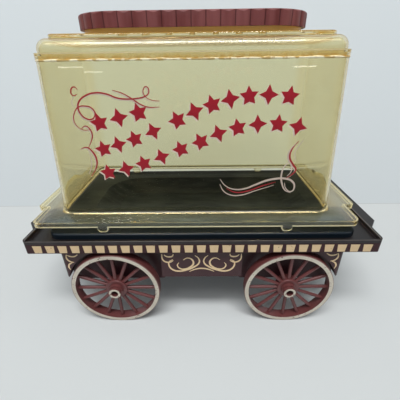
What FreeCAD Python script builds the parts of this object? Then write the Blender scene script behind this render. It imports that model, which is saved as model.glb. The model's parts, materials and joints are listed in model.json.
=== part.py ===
"""Wagon-style electric popcorn maker.

Frame: millimetres, +Z up, -Y towards the front of the wagon, +X to the right as seen from
the front.  The origin is on the floor, under the middle of the deck.

Construction: a moulded deck carries the popping pan, a moulded wagon body hangs under the
deck and holds the heating gear, two steel axles pass under the body and carry four spoked
wheels, and a clear cover with a fluted canopy lifts off the pan.
"""
import FreeCAD, Part
import math
import os

V = FreeCAD.Vector
X_DIR, Y_DIR, Z_DIR = V(1, 0, 0), V(0, 1, 0), V(0, 0, 1)

# ---------------------------------------------------------------- driving dimensions (mm)
# Clearances
running_gap = 0.05          # radial, wheel on axle and axle in hanger
lift_gap = 0.35             # radial, canopy on neck
free_gap = 0.3              # end float between parts that pass each other
screw_gap = 0.25            # radial, screw or stud in its hole
seat_gap = 0.05             # heating element under the dish
sliver = 0.01               # shortest straight run left between two corner arcs

# Wheels and axles
wheel_radius = 49.2
wheel_width = 11.0
tyre_band = 4.9             # radial width of the rim
spoke_count = 16
spoke_radius = 1.9
spoke_root = 1.5            # spoke sunk into the hub and into the rim
hub_radius = 12.3
hub_width = 10.0
hub_inset = 2.0             # hub face behind the rim face
hub_round = 1.2
rim_round = 0.6
boss_radius = 7.9
boss_reach = 1.5            # boss face in front of the rim face
nose_radius = 6.4
nose_reach = 5.0            # nose end in front of the rim face
nose_bore_radius = 3.9
nose_bore_depth = 9.0
wheel_base = 193.2          # left axle to right axle
axle_radius = 3.0
axle_round = 0.5
axle_stub = 3.0             # axle end beyond the nose bore's floor
push_nut_radius = 3.6
push_nut_thick = 1.2
hub_back_reach = 6.7        # hub sleeve behind the rim's back face

# Deck
deck_length = 362.6
deck_depth = 188.0
deck_corner = 2.5
deck_rim_round = 1.5
ear_reach = 9.7             # handle ear beyond the deck's end
ear_length = 120.0
ear_slope = 13.0            # run of the slanted step at each end of an ear
deck_floor = 3.0
rim_height = 4.0
rim_width = 3.5             # of the rims at the ends
front_rim_drop = 2.0        # front and back rims below the rims at the ends
front_rim_width = 1.8
front_rim_round = 0.5
fascia_height = 17.0
fascia_thick = 2.5
deck_opening_margin = 25.0  # pan edge to the edge of the deck's opening

# Wagon body
body_length = 300.0
body_inset = 5.0            # body front behind the fascia
body_height = 47.0
body_wall = 2.5
body_corner = 4.0
body_inner_corner = 2.5
hanger_drop = 15.8          # body bottom above the axle
hanger_width = 20.0
hanger_thick = 10.0
hanger_radius = 8.0
well_depth = 13.0
well_inner_edge = 43.5      # middle of the body to the near side of a wheel well
well_clearance = 3.8        # wheel to the round side of its well
well_head = 8.0             # top of the body to the top of a wheel well
skirt_drop = 14.0           # body bottom to the lower edge of the panel behind a wheel
skirt_inset = 1.5           # end of the body to the end of the panel behind a wheel
skirt_corner = 5.0
plate_opening_x = 250.0
plate_opening_y = 110.0
plate_lap = 6.0             # bottom plate over the edge of its opening
plate_thick = 1.5
plate_screw_inset = 15.4    # corner screws from the end of the plate's opening
vent_count = 6
vent_length = 22.0
vent_width = 3.2
vent_pitch = 9.0
deck_boss_x = 137.0
deck_boss_y = 58.0
deck_boss_radius = 4.5

# Popping pan
pan_length = 319.0
pan_depth = 175.0
pan_corner = 13.0
pan_height = 6.0
pan_wall = 2.0
pan_edge_round = 1.8
dish_inset_x = 31.5         # pan's end to the dish
dish_inset_y = 28.5         # pan's side to the dish
dish_corner = 40.0
dish_sink = 15.0
dish_taper = 20.0           # run of the dish's sloping side
pan_stud_x = 138.0
pan_stud_y = 68.0
stud_radius = 2.0
stud_spare = 1.0            # stud beyond its last nut

# Heating gear under the pan
element_radius = 3.25
element_pitch = 44.0        # leg to leg
element_bend_inset = 53.0   # dish's end to the centre of the bend
element_end_inset = 36.0    # dish's other end to the end of the sheath
element_pin_radius = 1.5
element_pin_length = 14.0
strap_x = 60.0
strap_length = 62.0
strap_width = 12.0
strap_thick = 1.2
nut_flats = 7.0
nut_thick = 3.0
shield_length = 186.0
shield_width = 84.0
shield_thick = 0.8
shield_rim = 4.0
shield_corner = 8.0
thermostat_radius = 8.5
thermostat_height = 8.0
thermostat_foot_length = 34.0
thermostat_foot_width = 8.0
thermostat_foot_thick = 1.0
thermostat_blade_length = 9.0
thermostat_blade_width = 4.8
thermostat_blade_thick = 0.8
thermostat_blade_pitch = 10.0
thermostat_blade_drop = 3.5     # middle of the blades below the dish
thermostat_screw_pitch = 26.0
fuse_radius = 2.0
fuse_length = 14.0
fuse_wire_radius = 0.6
fuse_wire_length = 3.0
terminal_x = 62.0
terminal_gap = 9.0          # inlet tail's end to the back of the block
terminal_length = 36.0
terminal_width = 16.0
terminal_height = 14.0
terminal_pitch = 18.0
terminal_entry = 4.9        # leads above the foot of the block
terminal_screw_lift = 2.5   # screw's end above the foot of the block
lead_radius = 1.3
lead_bend = 2.6
inlet_lead_bend = 1.56
lead_step = 8.0             # spacing between the runs of neighbouring leads
lead_row_count = 2          # rows of leads between the fuse and the terminal block

# Appliance inlet in the back of the body
inlet_z = 86.0
inlet_flange_length = 52.0
inlet_flange_height = 26.0
inlet_flange_thick = 2.0
inlet_flange_corner = 3.0
inlet_shell_length = 36.0
inlet_shell_height = 19.0
inlet_shell_reach = 22.0    # shell inside the body
inlet_wall = 2.5
inlet_pin_radius = 2.4
inlet_pin_pitch = 17.5
inlet_pin_length = 15.0     # pin in the socket
inlet_pin_round = 1.44
inlet_tail_length = 8.0
inlet_tail_radius = 1.6
inlet_screw_pitch = 44.0

# Cover
cover_shift = -6.8          # the cover stands this far off the deck's middle, within its play
cover_wall = 2.2
cover_base_length = 286.4
cover_base_depth = 132.5
cover_taper = 7.1           # each wall leans in by this much over its height
cover_corner = 12.0
cover_wall_height = 144.2
cover_base_round = 4.0      # fillet between the walls and the flange
flange_length = 335.4
flange_depth = 166.8
flange_corner = 8.0
flange_rise = 3.0
lip_height = 5.5
cover_ear_reach = 10.3
cover_ear_length = 95.0
cover_ear_corner = 3.0
tab_height = 5.5
tab_radius = 5.6
tab_foot = 3.0              # flat at the bottom of a tab
tab_root = 0.3              # tab carried up into the lip
tab_pitch = 188.4
band_height = 5.4           # upright band of the upper part, on top of the walls
band_reach = 0.3            # band proud of the walls
dome_step = 2.4             # dome inside the band
dome_height = 11.2          # above the band
dome_corner = 10.0
shoulder_radius = 9.5
platform_length = 249.4
platform_depth = 96.0
platform_corner = 8.0
platform_height = 3.15
platform_round = 1.4
steam_hole_radius = 2.5
steam_hole_columns = 7
steam_hole_pitch = 22.0
steam_hole_rows = 2
steam_row_pitch = 20.0

# Canopy
canopy_length = 216.6
canopy_depth = 86.0
canopy_height = 12.15
canopy_lift = 4.1           # canopy's lower edge above the cover's platform
canopy_wall = 1.9
canopy_top = 2.5
canopy_panel_sink = 2.0
canopy_panel_margin = 12.0
flute_count = 42
flute_depth = 1.3
canopy_round = 2.0          # top edge of the flutes
butter_hole_radius = 2.2
butter_hole_count = 9
butter_hole_pitch = 18.0

# Screws
screw_radius = 1.5
screw_head_radius = 3.2
screw_head_height = 1.8
screw_head_round = 0.8
screw_slot_width = 0.8
screw_slot_depth = 0.7
screw_grip = 9.0            # thread beyond the part that the head clamps
rating_length = 60.0
rating_width = 30.0
rating_thick = 0.4
rating_corner = 2.0

# ---------------------------------------------------------------- levels and planes
axle_z = wheel_radius
dish_length = pan_length - 2 * dish_inset_x
dish_width = pan_depth - 2 * dish_inset_y
element_left = element_bend_inset - dish_length / 2
element_right = dish_length / 2 - element_end_inset
body_bottom = axle_z + hanger_drop
deck_under = body_bottom + body_height
deck_top = deck_under + deck_floor
rim_top = deck_top + rim_height
fascia_bottom = rim_top - fascia_height
pan_top = deck_top + pan_height
dish_under = pan_top - dish_sink - pan_wall
lip_bottom = pan_top + tab_height
lip_top = lip_bottom + lip_height
wall_base = lip_top + flange_rise
seam_z = wall_base + cover_wall_height
band_top = seam_z + band_height
dome_top = band_top + dome_height
platform_top = dome_top + platform_height
canopy_bottom = platform_top + canopy_lift
canopy_roof = canopy_bottom + canopy_height
neck_top = canopy_roof - canopy_top

fascia_y = deck_depth / 2
body_y = fascia_y - body_inset
rim_face_y = fascia_y
hub_back_y = rim_face_y - wheel_width - hub_back_reach
hanger_face_y = hub_back_y - free_gap
well_back_y = body_y - well_depth
inlet_tail_y = body_y - inlet_shell_reach - inlet_tail_length
terminal_y = inlet_tail_y - terminal_gap - terminal_width / 2
nose_floor_y = rim_face_y + nose_reach - nose_bore_depth
axle_end_y = nose_floor_y + axle_stub
axle_x = wheel_base / 2
body_floor_top = body_bottom + body_wall
element_z = dish_under - seat_gap - element_radius
strap_top = element_z - element_radius
strap_under = strap_top - strap_thick
shield_top = strap_under - nut_thick
shield_under = shield_top - shield_thick
blade_z = dish_under - thermostat_blade_drop
blade_end = thermostat_radius + thermostat_blade_length
terminal_lead_z = body_floor_top + terminal_entry
neck_inset = flute_depth + canopy_wall + lift_gap
neck_length = canopy_length - 2 * neck_inset
neck_depth = canopy_depth - 2 * neck_inset
cover_top_length = cover_base_length - 2 * cover_taper
cover_top_depth = cover_base_depth - 2 * cover_taper


# ---------------------------------------------------------------- helpers
def box(x0, x1, y0, y1, z0, z1):
    """Box between two corners."""
    return Part.makeBox(x1 - x0, y1 - y0, z1 - z0, V(x0, y0, z0))


def rod(radius, start, direction, length):
    """Round bar from a point along a direction."""
    return Part.makeCylinder(radius, length, start, direction)


def outline(length, depth, corner, z, x=0.0, y=0.0):
    """Closed wire: a rectangle with rounded corners, centred on (x, y)."""
    a, b = length / 2, depth / 2
    c = min(corner, a - sliver, b - sliver)
    bend = c * (1 - math.sqrt(0.5))
    edges = []
    for sx, sy in ((1, -1), (1, 1), (-1, 1), (-1, -1)):
        side = V(x + sx * a, y + sy * (b - c), z)
        end = V(x + sx * (a - c), y + sy * b, z)
        middle = V(x + sx * (a - bend), y + sy * (b - bend), z)
        if sx * sy < 0:
            side, end = end, side
        if edges:
            edges.append(Part.LineSegment(edges[-1].EndPoint, side))
        edges.append(Part.Arc(side, middle, end))
    edges.append(Part.LineSegment(edges[-1].EndPoint, edges[0].StartPoint))
    return Part.Wire([edge.toShape() for edge in edges])


def slab(length, depth, corner, z0, z1, x=0.0, y=0.0):
    """Plate with rounded corners between two heights."""
    return Part.Face(outline(length, depth, corner, z0, x, y)).extrude(V(0, 0, z1 - z0))


def taper(low, high, x=0.0):
    """Straight-sided solid between two rounded outlines, each (length, depth, corner, z)."""
    return Part.makeLoft([outline(*low, x), outline(*high, x)], True, True)


def round_edges(solid, radius, wanted):
    """Round the edges for which wanted(edge) is true."""
    return solid.makeFillet(radius, [edge for edge in solid.Edges if wanted(edge)])


def at_height(z):
    """Edge test: the whole edge lies at height z."""
    return lambda edge: abs(edge.BoundBox.ZMin - z) < 1e-3 and abs(edge.BoundBox.ZMax - z) < 1e-3


def hexagon(flats, thick, centre, bore):
    """Hexagon nut standing on its centre point, with a hole."""
    points = [centre + V(math.cos(k * math.pi / 3), math.sin(k * math.pi / 3), 0)
              * (flats / math.sqrt(3)) for k in range(7)]
    body = Part.Face(Part.makePolygon(points)).extrude(V(0, 0, thick))
    return body.cut(rod(bore, centre, Z_DIR, thick))


def four(x, y):
    """The four points (+-x, +-y)."""
    return [(sx * x, sy * y) for sx in (-1, 1) for sy in (-1, 1)]


def group(solids):
    """Separate solids kept as one piece of the set."""
    return Part.makeCompound(solids)


def tube(points, radius, bend):
    """Round wire along a path of straight runs joined by tangent arcs."""
    edges = []
    last = points[0]
    for before, corner, after in zip(points, points[1:], points[2:]):
        into = (corner - before).normalize()
        out = (after - corner).normalize()
        half = into.getAngle(out) / 2
        reach = bend * math.tan(half)
        start, end = corner - into * reach, corner + out * reach
        toward = (out - into).normalize()
        middle = corner + toward * (bend / math.cos(half) - bend)
        edges.append(Part.LineSegment(last, start).toShape())
        edges.append(Part.Arc(start, middle, end).toShape())
        last = end
    edges.append(Part.LineSegment(last, points[-1]).toShape())
    path = Part.Wire(edges)
    first = (points[1] - points[0]).normalize()
    profile = Part.Wire(Part.makeCircle(radius, points[0], first))
    return path.makePipeShell([profile], True, True)


def down_screw(x, y, seat_z, grip):
    """Pan-head screw driven upwards: head under the seat, shank above it."""
    head = rod(screw_head_radius, V(x, y, seat_z - screw_head_height), Z_DIR, screw_head_height)
    end = seat_z - screw_head_height
    head = round_edges(head, screw_head_round, at_height(end))
    slot = box(x - screw_head_radius, x + screw_head_radius, y - screw_slot_width / 2,
               y + screw_slot_width / 2, end, end + screw_slot_depth)
    return head.cut(slot).fuse(rod(screw_radius, V(x, y, seat_z), Z_DIR, grip))


# ---------------------------------------------------------------- deck and wagon body
def deck_outline(z, inset=0.0):
    """Plan of the deck with its two handle ears, drawn inwards by inset."""
    a = deck_length / 2 - inset
    b = deck_depth / 2 - inset
    ear_a = a + ear_reach
    root = ear_length / 2 + ear_slope - inset
    tip = ear_length / 2 - inset
    quarter = [(a, -b), (a, -root), (ear_a, -tip), (ear_a, tip), (a, root), (a, b)]
    points = quarter + [(-x, -y) for x, y in quarter]
    return Part.makePolygon([V(x, y, z) for x, y in points + points[:1]])


def deck_plate(z0, z1, inset=0.0):
    """Deck-shaped plate with its four outer corners rounded."""
    plate = Part.Face(deck_outline(z0, inset)).extrude(V(0, 0, z1 - z0))
    reach = deck_depth / 2 - inset

    def outer_corner(edge):
        bounds = edge.BoundBox
        return bounds.ZLength > 1e-3 and abs(abs(bounds.Center.y) - reach) < 1e-3

    return round_edges(plate, deck_corner, outer_corner)


def deck_bosses():
    """Places of the posts that join the deck to the body."""
    return four(deck_boss_x, deck_boss_y)


def pan_stud_places():
    """Places of the studs under the pan's corners."""
    return four(pan_stud_x, pan_stud_y)


def make_deck():
    """Deck: floor with a raised rim, a hanging fascia all round and posts for the body."""
    solid = deck_plate(fascia_bottom, rim_top)
    solid = round_edges(solid, deck_rim_round, at_height(rim_top))
    well = slab(deck_length - 2 * rim_width, deck_depth - 2 * front_rim_width, deck_corner,
                deck_top, rim_top)
    low_rim, inside = rim_top - front_rim_drop, deck_length / 2 - rim_width
    for end in (-1, 1):
        y0, y1 = sorted((end * (fascia_y - rim_width), end * (fascia_y + rim_width)))
        solid = solid.cut(box(-inside, inside, y0, y1, low_rim, rim_top))
    solid = round_edges(solid, front_rim_round, lambda edge: at_height(low_rim)(edge)
                        and edge.BoundBox.XLength > deck_length / 2
                        and abs(edge.BoundBox.Center.y) > fascia_y - sliver)
    solid = solid.cut(well)
    solid = solid.cut(deck_plate(fascia_bottom, deck_under, fascia_thick))
    solid = solid.cut(slab(pan_length - 2 * deck_opening_margin, pan_depth - 2 * deck_opening_margin,
                           dish_corner, deck_under, deck_top))
    for x, y in deck_bosses():
        solid = solid.fuse(rod(deck_boss_radius, V(x, y, body_floor_top), Z_DIR,
                               deck_under - body_floor_top))
        solid = solid.cut(rod(screw_radius, V(x, y, body_floor_top), Z_DIR, screw_grip))
    for x, y in pan_stud_places():
        solid = solid.cut(rod(stud_radius + screw_gap, V(x, y, deck_under), Z_DIR, deck_floor))
    return solid.removeSplitter()


def well_space(side, end, grow=0.0):
    """Space cut out of the body for one wheel, enlarged by grow for the wall round it."""
    near, far = well_inner_edge - grow, axle_x
    x0, x1 = sorted((side * near, side * far))
    y0, y1 = sorted((end * (well_back_y - grow), end * (body_y + body_wall)))
    low = body_bottom - body_wall
    top = deck_under - well_head + grow
    square = box(x0, x1, y0, y1, low, top)
    arch = rod(wheel_radius + well_clearance + grow, V(side * axle_x, y0, axle_z), Y_DIR, y1 - y0)
    below = box(-body_length, body_length, y0, y1, low - body_height, low)
    return square.fuse(arch).cut(below)


def make_hanger(side, end):
    """Bracket under the body that carries one end of an axle."""
    y0, y1 = sorted((end * (hanger_face_y - hanger_thick), end * hanger_face_y))
    x = side * axle_x
    block = box(x - hanger_width / 2, x + hanger_width / 2, y0, y1, axle_z, body_floor_top)
    foot = rod(hanger_radius, V(x, y0, axle_z), Y_DIR, y1 - y0)
    spare = hanger_width / 2 - hanger_radius
    flank = hanger_drop
    for turn in (-1, 1):
        corner = V(x + turn * hanger_width / 2, y0, axle_z)
        wedge = Part.Face(Part.makePolygon([corner, corner + V(-turn * spare, 0, 0),
                                            corner + V(0, 0, flank), corner]))
        block = block.cut(wedge.extrude(V(0, y1 - y0, 0)))
    return block.fuse(foot)


def make_skirt(side, end):
    """Panel that hangs from the body behind one wheel, in line with the hanger's face."""
    x0, x1 = sorted((side * (well_inner_edge - body_wall), side * (body_length / 2 - skirt_inset)))
    y0, y1 = sorted((end * (hanger_face_y - body_wall), end * hanger_face_y))
    panel = box(x0, x1, y0, y1, body_bottom - skirt_drop, body_floor_top)
    low = body_bottom - skirt_drop
    return round_edges(panel, skirt_corner,
                       lambda edge: edge.BoundBox.ZMax < low + 1e-3 and edge.BoundBox.XLength < 1e-3)


def make_wagon_body():
    """Body: open-topped box with four wheel wells, a framed floor, axle hangers and skirts."""
    solid = slab(body_length, 2 * body_y, body_corner, body_bottom, deck_under)
    inside = slab(body_length - 2 * body_wall, 2 * (body_y - body_wall), body_inner_corner,
                  body_floor_top, deck_under)
    shell = solid.cut(inside)
    for side in (-1, 1):
        for end in (-1, 1):
            shell = shell.fuse(well_space(side, end, body_wall).common(solid))
            shell = shell.cut(well_space(side, end))
            shell = shell.fuse(make_hanger(side, end)).fuse(make_skirt(side, end))
        shell = shell.cut(rod(axle_radius + running_gap, V(side * axle_x, -body_y, axle_z), Y_DIR,
                              2 * body_y))
    shell = shell.cut(slab(plate_opening_x, plate_opening_y, body_corner, body_bottom, body_floor_top))
    for x, y in deck_bosses():
        shell = shell.cut(rod(screw_radius + screw_gap, V(x, y, body_bottom), Z_DIR, body_wall))
    for x, y in plate_screw_places():
        shell = shell.cut(rod(screw_radius, V(x, y, body_bottom), Z_DIR, body_wall))
    shell = shell.cut(box(-inlet_shell_length / 2, inlet_shell_length / 2, body_y - body_wall, body_y,
                          inlet_z - inlet_shell_height / 2, inlet_z + inlet_shell_height / 2))
    for side in (-1, 1):
        shell = shell.cut(rod(screw_radius, V(side * inlet_screw_pitch / 2, body_y - body_wall,
                                              inlet_z), Y_DIR, body_wall))
    return shell.removeSplitter()


def plate_screw_places():
    """Screws round the edge of the bottom plate."""
    x = plate_opening_x / 2 + plate_lap / 2
    y = plate_opening_y / 2 + plate_lap / 2
    return four(x, plate_opening_y / 2 - plate_screw_inset) + [(0, -y), (0, y)]


def make_bottom_plate():
    """Sheet-steel plate under the body, with two rows of air slots."""
    solid = slab(plate_opening_x + 2 * plate_lap, plate_opening_y + 2 * plate_lap, body_corner,
                 body_bottom - plate_thick, body_bottom)
    for row in (-1, 1):
        for k in range(vent_count):
            x = (k - (vent_count - 1) / 2) * vent_pitch + row * plate_opening_x / 4
            solid = solid.cut(slab(vent_width, vent_length, vent_width / 2, body_bottom - plate_thick,
                                   body_bottom, x))
    for x, y in plate_screw_places():
        solid = solid.cut(rod(screw_radius + screw_gap, V(x, y, body_bottom - plate_thick), Z_DIR,
                              plate_thick))
    return solid


def make_rating_plate():
    """Plain plate under the bottom, left blank."""
    top = body_bottom - plate_thick
    return slab(rating_length, rating_width, rating_corner, top - rating_thick, top)


def make_plate_screws():
    """Screws that hold the bottom plate."""
    grip = plate_thick + body_wall
    return group([down_screw(x, y, body_bottom - plate_thick, grip) for x, y in plate_screw_places()])


def make_deck_screws():
    """Long screws through the body's floor into the deck's posts."""
    return group([down_screw(x, y, body_bottom, body_wall + screw_grip - free_gap)
                  for x, y in deck_bosses()])


# ---------------------------------------------------------------- popping pan and heating gear
def make_popping_pan():
    """Coated pan: raised edge for the cover to stand on and a sunk dish for the corn."""
    solid = slab(pan_length, pan_depth, pan_corner, deck_top, pan_top)
    solid = round_edges(solid, pan_edge_round, at_height(pan_top))
    low_length, low_width = dish_length - 2 * dish_taper, dish_width - 2 * dish_taper
    low_corner = dish_corner - dish_taper
    hollow = taper((low_length, low_width, low_corner, pan_top - dish_sink),
                   (dish_length, dish_width, dish_corner, pan_top))
    bowl = taper((low_length + 2 * pan_wall, low_width + 2 * pan_wall, low_corner + pan_wall,
                  dish_under),
                 (dish_length + 2 * pan_wall, dish_width + 2 * pan_wall, dish_corner + pan_wall,
                  pan_top - pan_wall))
    under = slab(pan_length - 2 * pan_wall, pan_depth - 2 * pan_wall, pan_corner - pan_wall,
                 deck_top, pan_top - pan_wall)
    return solid.cut(under).fuse(bowl).cut(hollow).removeSplitter()


def make_pan_studs():
    """Studs welded under the pan's corners."""
    end = deck_under - nut_thick - stud_spare
    return group([rod(stud_radius, V(x, y, end), Z_DIR, pan_top - pan_wall - end)
                  for x, y in pan_stud_places()])


def make_pan_nuts():
    """Nuts that draw the pan down on the deck."""
    return group([hexagon(nut_flats, nut_thick, V(x, y, deck_under - nut_thick),
                          stud_radius + running_gap) for x, y in pan_stud_places()])


def make_heating_element():
    """Sheathed hairpin element with a cold pin at each end."""
    half = element_pitch / 2
    legs = []
    for side in (-1, 1):
        start = V(element_left, side * half, element_z)
        legs.append(rod(element_radius, start, X_DIR, element_right - element_left))
        end = V(element_right, side * half, element_z)
        legs.append(rod(element_pin_radius, end, X_DIR, element_pin_length))
    ring = Part.makeTorus(half, element_radius, V(element_left, 0, element_z), Z_DIR)
    size = half + 2 * element_radius
    bend = ring.common(box(element_left - size, element_left, -size, size, element_z - size,
                           element_z + size))
    for leg in legs:
        bend = bend.fuse(leg)
    return bend.removeSplitter()


def make_element_straps():
    """Straps that clamp the element up against the dish."""
    straps = []
    for side in (-1, 1):
        x = side * strap_x
        strap = box(x - strap_width / 2, x + strap_width / 2, -strap_length / 2, strap_length / 2,
                    strap_under, strap_top)
        straps.append(strap.cut(rod(stud_radius + screw_gap, V(x, 0, strap_under), Z_DIR,
                                    strap_thick)))
    return group(straps)


def make_element_studs():
    """Studs welded under the dish for the straps and the heat shield."""
    end = shield_under - nut_thick - stud_spare
    return group([rod(stud_radius, V(side * strap_x, 0, end), Z_DIR, dish_under - end)
                  for side in (-1, 1)])


def make_element_nuts():
    """Nuts under the straps and under the heat shield."""
    nuts = []
    for side in (-1, 1):
        for seat in (strap_under, shield_under):
            nuts.append(hexagon(nut_flats, nut_thick, V(side * strap_x, 0, seat - nut_thick),
                                stud_radius + running_gap))
    return group(nuts)


def make_heat_shield():
    """Sheet tray that keeps the heat off the body's floor."""
    solid = slab(shield_length, shield_width, shield_corner, shield_under, shield_top + shield_rim)
    solid = solid.cut(slab(shield_length - 2 * shield_thick, shield_width - 2 * shield_thick,
                           shield_corner - shield_thick, shield_top, shield_top + shield_rim))
    for side in (-1, 1):
        solid = solid.cut(rod(stud_radius + screw_gap, V(side * strap_x, 0, shield_under), Z_DIR,
                              shield_thick))
    return solid


def make_thermostat():
    """Disc thermostat on a foot against the dish, with two blades side by side."""
    low = dish_under - thermostat_height
    solid = rod(thermostat_radius, V(0, 0, low), Z_DIR, thermostat_height)
    foot_low = dish_under - thermostat_foot_thick
    foot = box(-thermostat_foot_width / 2, thermostat_foot_width / 2, -thermostat_foot_length / 2,
               thermostat_foot_length / 2, foot_low, dish_under)
    for side in (-1, 1):
        foot = foot.cut(rod(screw_radius + screw_gap, V(0, side * thermostat_screw_pitch / 2,
                                                        foot_low), Z_DIR, thermostat_foot_thick))
        y = side * thermostat_blade_pitch / 2
        blade = box(0, blade_end, y - thermostat_blade_width / 2, y + thermostat_blade_width / 2,
                    blade_z - thermostat_blade_thick / 2, blade_z + thermostat_blade_thick / 2)
        solid = solid.fuse(blade)
    return solid.fuse(foot).removeSplitter()


def make_thermostat_screws():
    """Screws that hold the thermostat's foot; each ends in the dish's face."""
    seat = dish_under - thermostat_foot_thick
    return group([down_screw(0, side * thermostat_screw_pitch / 2, seat, thermostat_foot_thick)
                  for side in (-1, 1)])


def fuse_far_end():
    """Free end of the fuse's second wire."""
    return V(blade_end + 2 * fuse_wire_length + fuse_length, thermostat_blade_pitch / 2, blade_z)


def make_thermal_fuse():
    """One-shot fuse in line with the thermostat's second blade."""
    start = V(blade_end, thermostat_blade_pitch / 2, blade_z)
    body = rod(fuse_radius, start + V(fuse_wire_length, 0, 0), X_DIR, fuse_length)
    wire = rod(fuse_wire_radius, start, X_DIR, 2 * fuse_wire_length + fuse_length)
    return body.fuse(wire).removeSplitter()


def make_terminal_block():
    """Ceramic block on the body's floor, with two screw wells."""
    x0, y0 = terminal_x - terminal_length / 2, terminal_y - terminal_width / 2
    solid = box(x0, x0 + terminal_length, y0, y0 + terminal_width, body_floor_top,
                body_floor_top + terminal_height)
    return solid.cut(group([rod(screw_radius + screw_gap, V(x, terminal_y, body_floor_top), Z_DIR,
                                terminal_height) for x in terminal_places()]))


def terminal_places():
    """The two terminals, side by side."""
    return [terminal_x - terminal_pitch / 2, terminal_x + terminal_pitch / 2]


def make_terminal_screws():
    """Slotted screws in the terminals."""
    top = body_floor_top + terminal_height
    screws = []
    for x in terminal_places():
        shank = rod(screw_radius, V(x, terminal_y, body_floor_top + terminal_screw_lift), Z_DIR,
                    terminal_height - terminal_screw_lift)
        head = rod(screw_head_radius, V(x, terminal_y, top), Z_DIR, screw_head_height)
        slot = box(x - screw_head_radius, x + screw_head_radius, terminal_y - screw_slot_width / 2,
                   terminal_y + screw_slot_width / 2, top + screw_head_height - screw_slot_depth,
                   top + screw_head_height)
        screws.append(shank.fuse(head.cut(slot)))
    return group(screws)


def make_appliance_inlet():
    """Two-pin inlet: flange outside the body, socket sunk into it."""
    flange = box(-inlet_flange_length / 2, inlet_flange_length / 2, body_y,
                 body_y + inlet_flange_thick, inlet_z - inlet_flange_height / 2,
                 inlet_z + inlet_flange_height / 2)
    flange = round_edges(flange, inlet_flange_corner,
                         lambda edge: edge.BoundBox.XLength + edge.BoundBox.ZLength < 1e-3)
    length = inlet_shell_length - 2 * free_gap
    height = inlet_shell_height - 2 * free_gap
    inner = body_y - inlet_shell_reach
    shell = box(-length / 2, length / 2, inner, body_y, inlet_z - height / 2, inlet_z + height / 2)
    hollow = box(-length / 2 + inlet_wall, length / 2 - inlet_wall, inner + inlet_wall,
                 body_y + inlet_flange_thick, inlet_z - height / 2 + inlet_wall,
                 inlet_z + height / 2 - inlet_wall)
    solid = flange.fuse(shell).cut(hollow)
    for side in (-1, 1):
        solid = solid.cut(rod(inlet_tail_radius, V(side * inlet_pin_pitch / 2, inner, inlet_z), Y_DIR,
                              inlet_wall))
        solid = solid.cut(rod(screw_radius + screw_gap, V(side * inlet_screw_pitch / 2, body_y,
                                                          inlet_z), Y_DIR, inlet_flange_thick))
    return solid.removeSplitter()


def make_inlet_pins():
    """Contact pins of the inlet, with tails for the leads."""
    root = body_y - inlet_shell_reach + inlet_wall
    pins = []
    for side in (-1, 1):
        x = side * inlet_pin_pitch / 2
        pin = rod(inlet_pin_radius, V(x, root, inlet_z), Y_DIR, inlet_pin_length)
        tip = root + inlet_pin_length
        pin = round_edges(pin, inlet_pin_round,
                          lambda edge: abs(edge.BoundBox.YMin - tip) < 1e-3)
        tail = rod(inlet_tail_radius, V(x, root - inlet_wall - inlet_tail_length, inlet_z), Y_DIR,
                   inlet_wall + inlet_tail_length)
        pins.append(pin.fuse(tail))
    return group(pins)


def make_inlet_screws():
    """Screws through the inlet's flange into the body."""
    screws = []
    face = body_y + inlet_flange_thick
    for side in (-1, 1):
        x = side * inlet_screw_pitch / 2
        head = rod(screw_head_radius, V(x, face, inlet_z), Y_DIR, screw_head_height)
        slot = box(x - screw_head_radius, x + screw_head_radius,
                   face + screw_head_height - screw_slot_depth, face + screw_head_height,
                   inlet_z - screw_slot_width / 2, inlet_z + screw_slot_width / 2)
        shank = rod(screw_radius, V(x, face, inlet_z), -Y_DIR, inlet_flange_thick + body_wall)
        screws.append(head.cut(slot).fuse(shank))
    return group(screws)


def inlet_tail(side):
    """End of one inlet pin's tail inside the body."""
    return V(side * inlet_pin_pitch / 2, inlet_tail_y, inlet_z)


def terminal_face(side, end):
    """Where a lead meets the terminal block: side picks the terminal, end its face."""
    x = terminal_places()[0 if side < 0 else 1]
    return V(x, terminal_y + end * terminal_width / 2, terminal_lead_z)


def lead_row(row):
    """Y of one of the evenly spaced rows between the fuse's wire and the front of the block."""
    wire, face = fuse_far_end().y, terminal_face(1, -1).y
    return wire + (face - wire) * row / (lead_row_count + 1)


def cold_pin(side):
    """Free end of one of the element's cold pins."""
    return V(element_right + element_pin_length, side * element_pitch / 2, element_z)


def make_inlet_lead(side):
    """Lead from an inlet pin to the back of its terminal."""
    start, stop = inlet_tail(side), terminal_face(side, 1)
    turn_y = (start.y + stop.y) / 2
    points = [start, V(start.x, turn_y, start.z), V(stop.x, turn_y, stop.z), stop]
    return tube(points, lead_radius, inlet_lead_bend)


def make_thermostat_lead():
    """Lead from the live terminal up to the thermal fuse."""
    start, stop = fuse_far_end(), terminal_face(-1, -1)
    out = cold_pin(1).x + 1.5 * lead_step
    row = lead_row(1)
    points = [start, V(out, start.y, start.z), V(out, start.y, stop.z), V(out, row, stop.z),
              V(stop.x, row, stop.z), stop]
    return tube(points, lead_radius, lead_bend)


def make_live_element_lead():
    """Lead from the thermostat's first blade to the front cold pin."""
    start, stop = V(blade_end, -thermostat_blade_pitch / 2, blade_z), cold_pin(-1)
    out = stop.x + lead_step
    points = [start, V(out, start.y, start.z), V(out, stop.y, stop.z), stop]
    return tube(points, lead_radius, lead_bend)


def make_neutral_element_lead():
    """Lead from the neutral terminal to the back cold pin."""
    start, stop = terminal_face(1, -1), cold_pin(1)
    row, out = lead_row(2), stop.x + lead_step
    points = [start, V(start.x, row, start.z), V(out, row, start.z), V(out, stop.y, stop.z), stop]
    return tube(points, lead_radius, lead_bend)


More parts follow.
